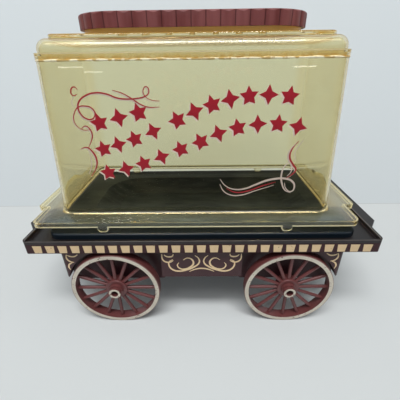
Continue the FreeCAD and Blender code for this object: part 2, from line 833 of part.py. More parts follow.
# ---------------------------------------------------------------- wheels and axles
def make_wheel():
    """Spoked wheel about the Y axis, rim face at y = 0 and nose towards -Y."""
    inner = wheel_radius - tyre_band
    rim = rod(wheel_radius, V(0, 0, 0), Y_DIR, wheel_width)
    rim = round_edges(rim, rim_round, lambda edge: edge.BoundBox.YLength < 1e-3)
    rim = rim.cut(rod(inner, V(0, 0, 0), Y_DIR, wheel_width))
    back = wheel_width + hub_back_reach
    hub = rod(hub_radius, V(0, hub_inset, 0), Y_DIR, hub_width)
    hub = round_edges(hub, hub_round, lambda edge: abs(edge.BoundBox.YMax - hub_inset) < 1e-3)
    hub = hub.fuse(rod(boss_radius, V(0, -boss_reach, 0), Y_DIR, back + boss_reach))
    hub = hub.fuse(rod(nose_radius, V(0, -nose_reach, 0), Y_DIR, nose_reach))
    spoke_start, spoke_end = hub_radius - spoke_root, inner + spoke_root
    for k in range(spoke_count):
        angle = 2 * math.pi * k / spoke_count
        direction = V(math.cos(angle), 0, math.sin(angle))
        start = direction * spoke_start + V(0, wheel_width / 2, 0)
        hub = hub.fuse(rod(spoke_radius, start, direction, spoke_end - spoke_start))
    wheel = rim.fuse(hub)
    wheel = wheel.cut(rod(axle_radius + running_gap, V(0, -nose_reach, 0), Y_DIR,
                          back + nose_reach))
    wheel = wheel.cut(rod(nose_bore_radius, V(0, -nose_reach, 0), Y_DIR, nose_bore_depth))
    return wheel.removeSplitter()


def place_wheel(wheel, side, end):
    """Wheel at the left or right axle, facing front (end -1) or back (end 1)."""
    placed = wheel.copy()
    if end > 0:
        placed.rotate(V(0, 0, 0), Z_DIR, 180)
    placed.translate(V(side * axle_x, end * rim_face_y, axle_z))
    return placed


def make_axle(side):
    """Plain steel axle, fixed in the hangers."""
    axle = rod(axle_radius, V(side * axle_x, -axle_end_y, axle_z), Y_DIR, 2 * axle_end_y)
    return round_edges(axle, axle_round, lambda edge: edge.BoundBox.YLength < 1e-3)


def make_push_nuts():
    """Spring caps on the axle ends that keep the wheels on."""
    nuts = []
    for side in (-1, 1):
        for end in (-1, 1):
            start = V(side * axle_x, end * (nose_floor_y + free_gap), axle_z)
            outward = V(0, end, 0)
            nut = rod(push_nut_radius, start, outward, push_nut_thick)
            nuts.append(nut.cut(rod(axle_radius, start, outward, push_nut_thick)))
    return group(nuts)


# ---------------------------------------------------------------- cover
def flange_band(z0, z1, inset=0.0):
    """Plan of the cover's flange with an ear at each end, as a plate between two heights."""
    plate = slab(flange_length - 2 * inset, flange_depth - 2 * inset, flange_corner - inset, z0, z1,
                 cover_shift)
    ears = slab(flange_length + 2 * cover_ear_reach - 2 * inset, cover_ear_length - 2 * inset,
                cover_ear_corner - inset, z0, z1, cover_shift)
    return plate.fuse(ears).removeSplitter()


def wall_block(inset=0.0, z_low=wall_base, z_high=seam_z):
    """Tapered block of the cover's walls, drawn in by inset."""
    lean = cover_taper / cover_wall_height

    def at(z):
        draw = 2 * (inset + lean * (z - wall_base))
        return (cover_base_length - draw, cover_base_depth - draw, cover_corner - inset, z)

    return taper(at(z_low), at(z_high), cover_shift)


def make_tab(x, end):
    """Rounded tab under the lip; its flat foot stands on the pan."""
    y0, y1 = sorted((end * (flange_depth / 2 - cover_wall), end * flange_depth / 2))
    tab = box(x - tab_radius, x + tab_radius, y0, y1, pan_top, lip_bottom + tab_root)
    foot_edge = at_height(pan_top)
    return round_edges(tab, tab_radius - tab_foot / 2,
                       lambda edge: foot_edge(edge) and edge.BoundBox.XLength < 1e-3)


def make_cover_shell():
    """Lower part of the cover: walls, sloping flange, lip, ears and standing tabs."""
    slope_low = (flange_length, flange_depth, flange_corner, lip_top)
    slope_high = (cover_base_length, cover_base_depth, cover_corner, wall_base)
    roof = taper(slope_low, slope_high, cover_shift)
    under = roof.copy()
    under.translate(V(0, 0, -cover_wall))
    ears = flange_band(lip_top - cover_wall, lip_top)
    skirt = flange_band(lip_bottom, lip_top)
    skirt = skirt.cut(flange_band(lip_bottom, lip_top, cover_wall))
    solid = roof.fuse(ears).cut(under).fuse(skirt)
    solid = round_edges(solid.fuse(wall_block()).removeSplitter(), cover_base_round,
                        at_height(wall_base))
    solid = solid.cut(wall_block(cover_wall, lip_bottom, seam_z))
    for side in (-1, 1):
        for end in (-1, 1):
            solid = solid.fuse(make_tab(cover_shift + side * tab_pitch / 2, end))
    return solid.removeSplitter()


def make_cover_dome():
    """Upper part of the cover: band on the walls, round shoulders, platform and vented neck."""
    solid = slab(cover_top_length + 2 * band_reach, cover_top_depth + 2 * band_reach,
                 cover_corner + band_reach, seam_z, band_top, cover_shift)
    length, depth = cover_top_length - 2 * dome_step, cover_top_depth - 2 * dome_step
    dome = slab(length, depth, dome_corner, seam_z, dome_top, cover_shift)
    dome = round_edges(dome, shoulder_radius, at_height(dome_top))
    platform = slab(platform_length, platform_depth, platform_corner, dome_top - cover_wall,
                    platform_top, cover_shift)
    platform = round_edges(platform, platform_round, at_height(platform_top))
    solid = solid.fuse(dome).fuse(platform)
    inner = 2 * cover_wall
    band_hollow = slab(cover_top_length - inner, cover_top_depth - inner, cover_corner - cover_wall,
                       seam_z, band_top - cover_wall, cover_shift)
    dome_hollow = slab(length - inner, depth - inner, dome_corner - cover_wall, seam_z,
                       dome_top - cover_wall, cover_shift)
    dome_hollow = round_edges(dome_hollow, shoulder_radius - cover_wall,
                              at_height(dome_top - cover_wall))
    raised = slab(platform_length - inner, platform_depth - inner, platform_corner - cover_wall,
                  dome_top - inner, platform_top - cover_wall, cover_shift)
    solid = solid.cut(band_hollow.fuse(dome_hollow).fuse(raised))
    neck = slab(neck_length, neck_depth, neck_depth / 2, platform_top - cover_wall, neck_top,
                cover_shift)
    neck = neck.cut(slab(neck_length - 2 * cover_wall, neck_depth - 2 * cover_wall,
                         neck_depth / 2 - cover_wall, platform_top, neck_top, cover_shift))
    solid = solid.fuse(neck)
    for column in range(steam_hole_columns):
        for row in range(steam_hole_rows):
            x = cover_shift + (column - (steam_hole_columns - 1) / 2) * steam_hole_pitch
            y = (row - (steam_hole_rows - 1) / 2) * steam_row_pitch
            solid = solid.cut(rod(steam_hole_radius, V(x, y, platform_top - cover_wall), Z_DIR,
                                  cover_wall))
    return solid.removeSplitter()


def stadium_point(length, depth, share):
    """Point and outward normal on a round-ended outline, share 0..1 of the way round.

    The way round starts in the middle of the front.
    """
    radius = depth / 2
    straight = length - depth
    arc = math.pi * radius
    half, way = divmod(share * 2 * (straight + arc) + straight / 2, straight + arc)
    flip = -1 if half == 1 else 1
    if way < straight:
        point, normal = V(way - straight / 2, -radius, 0), V(0, -1, 0)
    else:
        angle = (way - straight) / radius - math.pi / 2
        normal = V(math.cos(angle), math.sin(angle), 0)
        point = V(straight / 2, 0, 0) + normal * radius
    return point * flip, normal * flip


def make_canopy():
    """Fluted cap on the cover's neck; its flat top is the foot when the cover is a bowl."""
    edges = []
    valley = (canopy_length - 2 * flute_depth, canopy_depth - 2 * flute_depth)
    base = V(cover_shift, 0, canopy_bottom)
    for k in range(flute_count):
        start, _ = stadium_point(*valley, k / flute_count)
        crest, normal = stadium_point(*valley, (k + 0.5) / flute_count)
        end, _ = stadium_point(*valley, (k + 1) / flute_count % 1)
        edges.append(Part.Arc(base + start, base + crest + normal * flute_depth, base + end).toShape())
    solid = Part.Face(Part.Wire(edges)).extrude(V(0, 0, canopy_height))
    envelope = slab(canopy_length, canopy_depth, canopy_depth / 2, canopy_bottom, canopy_roof,
                    cover_shift)
    solid = solid.common(round_edges(envelope, canopy_round, at_height(canopy_roof)))
    inset = 2 * (flute_depth + canopy_wall)
    length, depth = canopy_length - inset, canopy_depth - inset
    solid = solid.cut(slab(length, depth, depth / 2, canopy_bottom, neck_top, cover_shift))
    panel_length = canopy_length - 2 * canopy_panel_margin
    panel_depth = canopy_depth - 2 * canopy_panel_margin
    wall = 2 * canopy_wall
    tray = slab(panel_length + wall, panel_depth + wall, panel_depth / 2 + canopy_wall,
                neck_top - canopy_panel_sink, neck_top, cover_shift)
    solid = solid.fuse(tray)
    solid = solid.cut(slab(panel_length, panel_depth, panel_depth / 2, canopy_roof - canopy_panel_sink,
                           canopy_roof, cover_shift))
    for k in range(butter_hole_count):
        x = cover_shift + (k - (butter_hole_count - 1) / 2) * butter_hole_pitch
        solid = solid.cut(rod(butter_hole_radius, V(x, 0, neck_top - canopy_panel_sink), Z_DIR,
                              canopy_top + canopy_panel_sink))
    return solid.removeSplitter()


# ---------------------------------------------------------------- the set of pieces
def build():
    """Every piece by name."""
    pieces = {
        "deck": make_deck(),
        "wagon_body": make_wagon_body(),
        "bottom_plate": make_bottom_plate(),
        "rating_plate": make_rating_plate(),
        "plate_screws": make_plate_screws(),
        "deck_screws": make_deck_screws(),
        "popping_pan": make_popping_pan(),
        "pan_studs": make_pan_studs(),
        "pan_nuts": make_pan_nuts(),
        "heating_element": make_heating_element(),
        "element_straps": make_element_straps(),
        "element_studs": make_element_studs(),
        "element_nuts": make_element_nuts(),
        "heat_shield": make_heat_shield(),
        "thermostat": make_thermostat(),
        "thermostat_screws": make_thermostat_screws(),
        "thermal_fuse": make_thermal_fuse(),
        "terminal_block": make_terminal_block(),
        "terminal_screws": make_terminal_screws(),
        "appliance_inlet": make_appliance_inlet(),
        "inlet_pins": make_inlet_pins(),
        "inlet_screws": make_inlet_screws(),
        "live_inlet_lead": make_inlet_lead(-1),
        "neutral_inlet_lead": make_inlet_lead(1),
        "thermostat_lead": make_thermostat_lead(),
        "live_element_lead": make_live_element_lead(),
        "neutral_element_lead": make_neutral_element_lead(),
        "left_axle": make_axle(-1),
        "right_axle": make_axle(1),
        "axle_push_nuts": make_push_nuts(),
        "cover_shell": make_cover_shell(),
        "cover_dome": make_cover_dome(),
        "canopy": make_canopy(),
    }
    wheel = make_wheel()
    for end_name, end in (("front", -1), ("back", 1)):
        for side_name, side in (("left", -1), ("right", 1)):
            pieces["%s_%s_wheel" % (end_name, side_name)] = place_wheel(wheel, side, end)
    return pieces


os.makedirs("parts", exist_ok=True)
for node, shape in build().items():
    shape.exportStep("parts/%s.step" % node)
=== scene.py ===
"""Looks of the wagon-style popcorn maker, laid out as a Blender add-on."""

import json
import math

import bmesh
import bpy
from bpy.props import FloatProperty, FloatVectorProperty, IntProperty, PointerProperty
from mathutils import Matrix, Vector

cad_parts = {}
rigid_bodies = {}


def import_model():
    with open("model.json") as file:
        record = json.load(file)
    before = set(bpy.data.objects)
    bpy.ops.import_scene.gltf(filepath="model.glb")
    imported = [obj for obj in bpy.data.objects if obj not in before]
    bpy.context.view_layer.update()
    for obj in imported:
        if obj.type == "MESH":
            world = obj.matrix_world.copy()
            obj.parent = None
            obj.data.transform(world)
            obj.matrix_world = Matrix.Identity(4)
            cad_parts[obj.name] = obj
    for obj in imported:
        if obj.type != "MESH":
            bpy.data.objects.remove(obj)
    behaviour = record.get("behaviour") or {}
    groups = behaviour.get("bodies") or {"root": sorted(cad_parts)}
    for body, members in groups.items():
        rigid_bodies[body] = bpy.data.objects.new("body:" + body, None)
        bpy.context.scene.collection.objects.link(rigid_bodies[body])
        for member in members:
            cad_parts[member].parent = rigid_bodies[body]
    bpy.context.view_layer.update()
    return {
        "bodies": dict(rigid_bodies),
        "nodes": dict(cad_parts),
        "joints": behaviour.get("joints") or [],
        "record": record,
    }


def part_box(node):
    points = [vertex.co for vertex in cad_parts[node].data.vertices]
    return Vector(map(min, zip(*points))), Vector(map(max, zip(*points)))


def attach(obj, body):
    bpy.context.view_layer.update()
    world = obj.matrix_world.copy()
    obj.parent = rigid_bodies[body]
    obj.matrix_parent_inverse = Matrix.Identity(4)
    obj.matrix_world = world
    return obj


bl_info = {
    "name": "Wagon popcorn maker",
    "version": (1, 0, 0),
    "blender": (4, 5, 0),
    "location": "View3D > Sidebar > Popcorn",
    "description": "Finishes, prints and stage for the wagon-style popcorn maker",
    "category": "Object",
}

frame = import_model()
nodes = frame["nodes"]

MM = 0.001


# ---------------------------------------------------------------- places taken from the solids
deck_low, deck_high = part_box("deck")
body_low, body_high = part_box("wagon_body")
pan_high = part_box("popping_pan")[1]
shell_low, shell_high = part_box("cover_shell")
dome_low, dome_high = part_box("cover_dome")
canopy_low, canopy_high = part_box("canopy")
wheel_low, wheel_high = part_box("front_right_wheel")

cover_x = (shell_low.x + shell_high.x) / 2
body_face = -body_low.y
seam_z = dome_low.z
fascia_low = deck_high.z - 17 * MM      # the fascia ends here, below the rim
low_rim = deck_high.z - 2 * MM          # the rim is this much lower in front and at the back
wheel_x = (wheel_low.x + wheel_high.x) / 2
wheel_z = (wheel_low.z + wheel_high.z) / 2
wheel_radius = (wheel_high.z - wheel_low.z) / 2
wheel_nose = -wheel_low.y


def flat_ring(node, z, reach=0.0006):
    """Half length and half depth of a node's outline near a height."""
    points = [v.co for v in nodes[node].data.vertices if abs(v.co.z - z) < reach]
    half_x = (max(p.x for p in points) - min(p.x for p in points)) / 2
    return half_x, max(abs(p.y) for p in points)


wall_top_x, wall_top_y = flat_ring("cover_shell", seam_z)
platform_z = canopy_low.z - 4.1 * MM
lip_low = shell_low.z + 5.5 * MM        # the tabs reach this much lower
feet = [v.co.x for v in nodes["cover_shell"].data.vertices if v.co.z < shell_low.z + 0.1 * MM]
tab_x = (max(feet) - min(feet)) / 2 - 1.5 * MM      # middle of the cover to the middle of a tab
tab_round = 4.1 * MM
shell_crease = shell_low.z + 14 * MM    # where the slope of the flange meets the walls
canopy_straight = (canopy_high.x - canopy_low.x) / 2 - canopy_high.y
canopy_flutes = 21              # on half of its outline
wall_lean = 7.1 / 144.2         # the walls draw in by this much per unit of height


# ---------------------------------------------------------------- settings
def colour(name, description, default):
    """A colour setting."""
    return FloatVectorProperty(name=name, description=description, default=default, size=3,
                               subtype="COLOR", min=0, max=1)


def distance(name, description, default):
    """A length setting, in metres."""
    return FloatProperty(name=name, description=description, default=default, min=0,
                         subtype="DISTANCE", unit="LENGTH", precision=4)


class PopcornCover(bpy.types.PropertyGroup):
    """Clear cover."""
    pale: colour("Pale amber", "What one wall lets through", (0.967, 0.948, 0.765))
    deep: colour("Deep amber", "What corners, seam and edges let through", (0.93, 0.78, 0.45))
    bead_radius: distance("Bead radius", "Thickness of the joint's bead", 0.9 * MM)


class PopcornPrint(bpy.types.PropertyGroup):
    """Stars and flourishes on the front of the cover."""
    red: colour("Red ink", "Stars and strokes", (0.40, 0.008, 0.022))
    cream: colour("Cream ink", "Drop shadows and light strokes", (0.80, 0.66, 0.55))
    star_radius: distance("Star radius", "Middle to point", 8.4 * MM)
    ink: distance("Ink thickness", "How far the ink stands off the wall", 0.18 * MM)


class PopcornDeck(bpy.types.PropertyGroup):
    """Deck and wagon body."""
    plastic: colour("Deck plastic", "Dark brown moulding", (0.010, 0.0075, 0.0075))
    maroon: colour("Maroon ink", "Ground of the fascia and apron", (0.042, 0.011, 0.014))
    cream: colour("Cream ink", "Squares and scrolls", (0.76, 0.56, 0.33))
    square_pitch: distance("Square pitch", "Middle to middle along the fascia", 12.93 * MM)
    square_width: distance("Square width", "At the top of a square", 9.3 * MM)
    square_height: distance("Square height", "Of the squares", 9.0 * MM)
    square_count: IntProperty(name="Squares", description="On the front of the fascia", default=27,
                              min=1)


class PopcornPan(bpy.types.PropertyGroup):
    """Popping pan."""
    frame: colour("Frame", "Black coating of the frame round the dish", (0.007, 0.0098, 0.0115))
    dish: colour("Dish", "Black coating of the dish, where it is rubbed", (0.026, 0.032, 0.036))
    # its blue stands for a painted highlight on the rounded edge
    edge: colour("Edge", "Blue-black of the rounded edge", (0.007, 0.013, 0.020))


class PopcornWheel(bpy.types.PropertyGroup):
    """Wheels and canopy."""
    maroon: colour("Wheel plastic", "Maroon moulding of the wheels", (0.140, 0.042, 0.041))
    canopy: colour("Canopy plastic", "Maroon moulding of the canopy", (0.165, 0.038, 0.036))
    # this paler colour is partly rubbing and partly a painted sheen
    rubbed: colour("Rubbed canopy", "Where its flutes are rubbed pale", (0.30, 0.100, 0.098))
    ring: colour("Ring paint", "Painted face of the rim and end of the nose", (0.70, 0.64, 0.53))
    ring_width: distance("Ring width", "Painted face of the rim", 4.9 * MM)
    nose_width: distance("Nose ring width", "Painted end of the nose", 2.5 * MM)


class PopcornStage(bpy.types.PropertyGroup):
    """Table, backdrop and light."""
    table: colour("Table", "Pale grey table", (0.66, 0.69, 0.69))
    wall: colour("Backdrop", "Pale grey wall", (0.60, 0.65, 0.67))
    wall_y: distance("Backdrop distance", "Middle of the deck to the wall", 0.192)
    horizon: FloatProperty(name="Light from the sides", description="Room light near the horizon",
                           default=0.08, min=0)
    zenith: FloatProperty(name="Light from above", description="Room light straight above",
                          default=0.45, min=0)
    lamp: FloatProperty(name="Lamp", description="Power of the key lamp", default=66.0, min=0,
                        subtype="POWER", unit="POWER")


def settings(name):
    """One group of settings of this scene."""
    return getattr(bpy.context.scene, name)


# ---------------------------------------------------------------- shader maths
class Value:
    """One output of a shader node; arithmetic on it adds Math nodes."""

    def __init__(self, finish, socket):
        self.finish, self.socket = finish, socket

    def maths(self, operation, other=None, swap=False):
        terms = [self] if other is None else [other, self] if swap else [self, other]
        return self.finish.add("ShaderNodeMath", {"operation": operation}, terms)

    def __add__(self, other):
        return self.maths("ADD", other)

    def __sub__(self, other):
        return self.maths("SUBTRACT", other)

    def __rsub__(self, other):
        return self.maths("SUBTRACT", other, True)

    def __mul__(self, other):
        return self.maths("MULTIPLY", other)

    def __truediv__(self, other):
        return self.maths("DIVIDE", other)

    def __rtruediv__(self, other):
        return self.maths("DIVIDE", other, True)

    def __pow__(self, other):
        return self.maths("POWER", other)

    def __abs__(self):
        return self.maths("ABSOLUTE")

    def __gt__(self, other):
        return self.maths("GREATER_THAN", other)

    def __lt__(self, other):
        return self.maths("LESS_THAN", other)

    __radd__ = __add__
    __rmul__ = __mul__


class Finish:
    """The node tree of one material."""

    def __init__(self, name):
        self.material = bpy.data.materials.new(name)
        self.material.use_nodes = True
        self.tree = self.material.node_tree
        self.tree.nodes.clear()
        self.place = self.add("ShaderNodeTexCoord", output="Object")
        parts = self.add("ShaderNodeSeparateXYZ", inputs=[self.place]).socket.node.outputs
        self.x, self.y, self.z = (Value(self, socket) for socket in parts)

    def add(self, kind, settings=(), inputs=(), output=0):
        """Adds a node: settings first, then values or links for its sockets."""
        node = self.tree.nodes.new(kind)
        for name, value in dict(settings).items():
            setattr(node, name, value)
        for key, value in (inputs.items() if isinstance(inputs, dict) else enumerate(inputs)):
            if isinstance(value, Value):
                self.tree.links.new(value.socket, node.inputs[key])
            elif value is not None:
                node.inputs[key].default_value = value
        return Value(self, node.outputs[output])

    def noise(self, scale, detail=2.0, stretch=(1, 1, 1)):
        """Noise from 0 to 1, with scale in features per metre."""
        where = self.add("ShaderNodeMapping", inputs={"Vector": self.place, "Scale": stretch})
        return self.add("ShaderNodeTexNoise",
                        inputs={"Vector": where, "Scale": scale, "Detail": detail})

    def rise(self, value, edge, soft):
        """0 below the edge and 1 above it, with a soft step."""
        return self.add("ShaderNodeMapRange", {"interpolation_type": "SMOOTHSTEP"},
                        [value, edge - soft, edge + soft, 0.0, 1.0])

    def most(self, *values):
        """The largest of these at each point."""
        top = values[0]
        for value in values[1:]:
            top = top.maths("MAXIMUM", value)
        return top

    def band(self, value, low, high, soft):
        """1 between two edges."""
        return self.rise(value, low, soft) * (1 - self.rise(value, high, soft))

    def mix(self, factor, a, b):
        """Blend of two colours."""
        pair = [c if isinstance(c, Value) else (*c, 1.0) for c in (a, b)]
        return self.add("ShaderNodeMix", {"data_type": "RGBA"},
                        {0: factor, 6: pair[0], 7: pair[1]}, output=2)

    def shade(self, factor, tone, low, high):
        """A colour times low where the factor is 0, and times high where it is 1."""
        dark, light = ([min(1.0, c * k) for c in tone] for k in (low, high))
        return self.mix(factor, dark, light)

    def bump(self, height, distance):
        """Normal from a height of 0 to 1 over a distance in metres."""
        return self.add("ShaderNodeBump",
                        inputs={"Strength": 1.0, "Distance": distance, "Height": height})

    def surface(self, **sockets):
        """Principled shader; names are the sockets' own, with _ for a space."""
        values = {name.replace("_", " "): value for name, value in sockets.items()}
        return self.add("ShaderNodeBsdfPrincipled", inputs=values)

    def finish(self, shader):
        """Ends the tree with this shader and gives the material."""
        node = self.tree.nodes.new("ShaderNodeOutputMaterial")
        self.tree.links.new(shader.socket, node.inputs["Surface"])
        return self.material


def paint(material, *names):
    """Gives CAD nodes a material in place of their plain one."""
    for name in names:
        mesh = nodes[name].data
        mesh.materials.clear()
        mesh.materials.append(material)


# ---------------------------------------------------------------- modelling helpers
def start_clean():
    """Object mode with nothing selected."""
    if bpy.context.object and bpy.context.object.mode != "OBJECT":
        bpy.ops.object.mode_set(mode="OBJECT")
    bpy.ops.object.select_all(action="DESELECT")


def choose(*objects):
    """Selects these objects alone; the first is active."""
    start_clean()
    for thing in objects:
        thing.select_set(True)
    bpy.context.view_layer.objects.active = objects[0]


def facing(origin, across, up):
    """Matrix that lays a drawing, made flat on X and Y, on a wall: Z points off the wall."""
    across, up = Vector(across).normalized(), Vector(up).normalized()
    out = across.cross(up)
    turned = Matrix((across, up, out)).transposed().to_4x4()
    return Matrix.Translation(Vector(origin)) @ turned


def own_copy(thing, matrix):
    """A copy with its own mesh, placed by a matrix."""
    copied = thing.copy()
    copied.data = thing.data.copy()
    bpy.context.scene.collection.objects.link(copied)
    copied.matrix_world = matrix
    return copied


def settle(things, name, material, body):
    """Joins pieces, bakes their place into the mesh and lets them ride on a body."""
    choose(*things)
    if len(things) > 1:
        bpy.ops.object.join()
    piece = bpy.context.object
    bpy.ops.object.transform_apply(location=True, rotation=True, scale=True)
    piece.name = piece.data.name = name
    piece.data.materials.clear()
    piece.data.materials.append(material)
    choose(piece)
    bpy.ops.object.mode_set(mode="EDIT")
    bpy.ops.mesh.select_all(action="SELECT")
    bpy.ops.mesh.remove_doubles(threshold=0.000001)
    bpy.ops.mesh.normals_make_consistent(inside=False)
    bpy.ops.object.mode_set(mode="OBJECT")
    bpy.ops.object.shade_smooth_by_angle(angle=math.radians(40))
    start_clean()
    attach(piece, body)
    return piece


def ink_stroke(points, widths, ink, steps=10):
    """One drawn line on X and Y, a low rounded film that swells and thins along its way."""
    start_clean()
    bpy.ops.curve.primitive_bezier_curve_add(location=(0, 0, 0))
    stroke = bpy.context.object
    curve = stroke.data
    curve.dimensions, curve.bevel_depth, curve.bevel_resolution = "3D", 0.5, 2
    curve.resolution_u, curve.use_fill_caps = steps, True
    knots = curve.splines[0].bezier_points
    knots.add(len(points) - 2)
    for knot, point, width in zip(knots, points, widths):
        knot.co = (point[0], point[1], 0)
        knot.radius = width
        knot.handle_left_type = knot.handle_right_type = "AUTO"
    bpy.ops.object.convert(target="MESH")
    stroke = bpy.context.object
    widest = max(widths)
    stroke.scale = (1, 1, ink / widest)
    stroke.location = (0, 0, ink / 2)
    bpy.ops.object.transform_apply(location=True, rotation=False, scale=True)
    return stroke


def swell(count, thin, thick):
    """Widths of a pen line: thin at its ends, thick in the middle."""
    return [thin + (thick - thin) * math.sin(math.pi * k / (count - 1)) for k in range(count)]


def star(radius, inner, points, ink):
    """Pointed glyph on X and Y with a bevelled face."""
    start_clean()
    bpy.ops.mesh.primitive_circle_add(vertices=2 * points, radius=radius, fill_type="NGON")
    glyph = bpy.context.object
    bpy.ops.object.mode_set(mode="EDIT")
    mesh = bmesh.from_edit_mesh(glyph.data)
    rim = sorted(mesh.verts, key=lambda v: math.atan2(v.co.y, v.co.x) % math.tau)
    top = max(range(len(rim)), key=lambda k: rim[k].co.y)
    bpy.ops.mesh.select_all(action="DESELECT")
    bpy.ops.mesh.select_mode(type="VERT")
    for k, vertex in enumerate(rim):
        vertex.select = (k - top) % 2 == 1
    mesh.select_flush_mode()
    bmesh.update_edit_mesh(glyph.data)
    bpy.ops.transform.resize(value=(inner, inner, inner))
    bpy.ops.mesh.select_all(action="SELECT")
    bpy.ops.mesh.extrude_region_move(TRANSFORM_OT_translate={"value": (0, 0, ink)})
    bpy.ops.mesh.inset(thickness=radius * 0.03, depth=ink * 0.25)
    bpy.ops.mesh.select_all(action="SELECT")
    bpy.ops.mesh.normals_make_consistent(inside=False)
    bpy.ops.object.mode_set(mode="OBJECT")
    return glyph


# ---------------------------------------------------------------- finishes
def moulded(name, tone, roughness, grain=0.00003, mottle=(0.82, 1.2)):
    """Moulded plastic: faint mottling, fine grain, rubbed and finger-marked patches."""
    f = Finish(name)
    cloud = f.noise(28, 3)
    fine = f.noise(900, 2)
    rub = f.noise(60, 4, stretch=(1, 1, 3))
    base = f.shade(cloud * 0.6 + fine * 0.4, tone, *mottle)
    rough = roughness + (rub - 0.5) * 0.16 + (fine - 0.5) * 0.08
    normal = f.bump(fine, grain)
    return f.finish(f.surface(Base_Color=base, Roughness=rough, Normal=normal))


def metal(name, tone, roughness, brushed=(1, 1, 1), scale=600, tarnish=(0.8, 1.05)):
    """Metal with a brushed or grained surface and faint tarnish."""
    f = Finish(name)
    cloud = f.noise(45, 4)
    lines = f.noise(scale, 3, stretch=brushed)
    base = f.shade(cloud * 0.7 + lines * 0.3, tone, *tarnish)
    rough = roughness + (lines - 0.5) * 0.2 + (cloud - 0.5) * 0.1
    return f.finish(f.surface(Base_Color=base, Roughness=rough, Metallic=1.0,
                              Normal=f.bump(lines, 0.00002)))


def ink_finish(name, tone, roughness=0.42):
    """Screen-printed ink: slightly uneven film with tiny pinholes."""
    f = Finish(name)
    film = f.noise(350, 3)
    worn = f.noise(70, 4)
    base = f.shade(film * 0.5 + worn * 0.5, tone, 0.78, 1.12)
    rough = roughness + (film - 0.5) * 0.2
    return f.finish(f.surface(Base_Color=base, Roughness=rough, Normal=f.bump(film, 0.00002)))


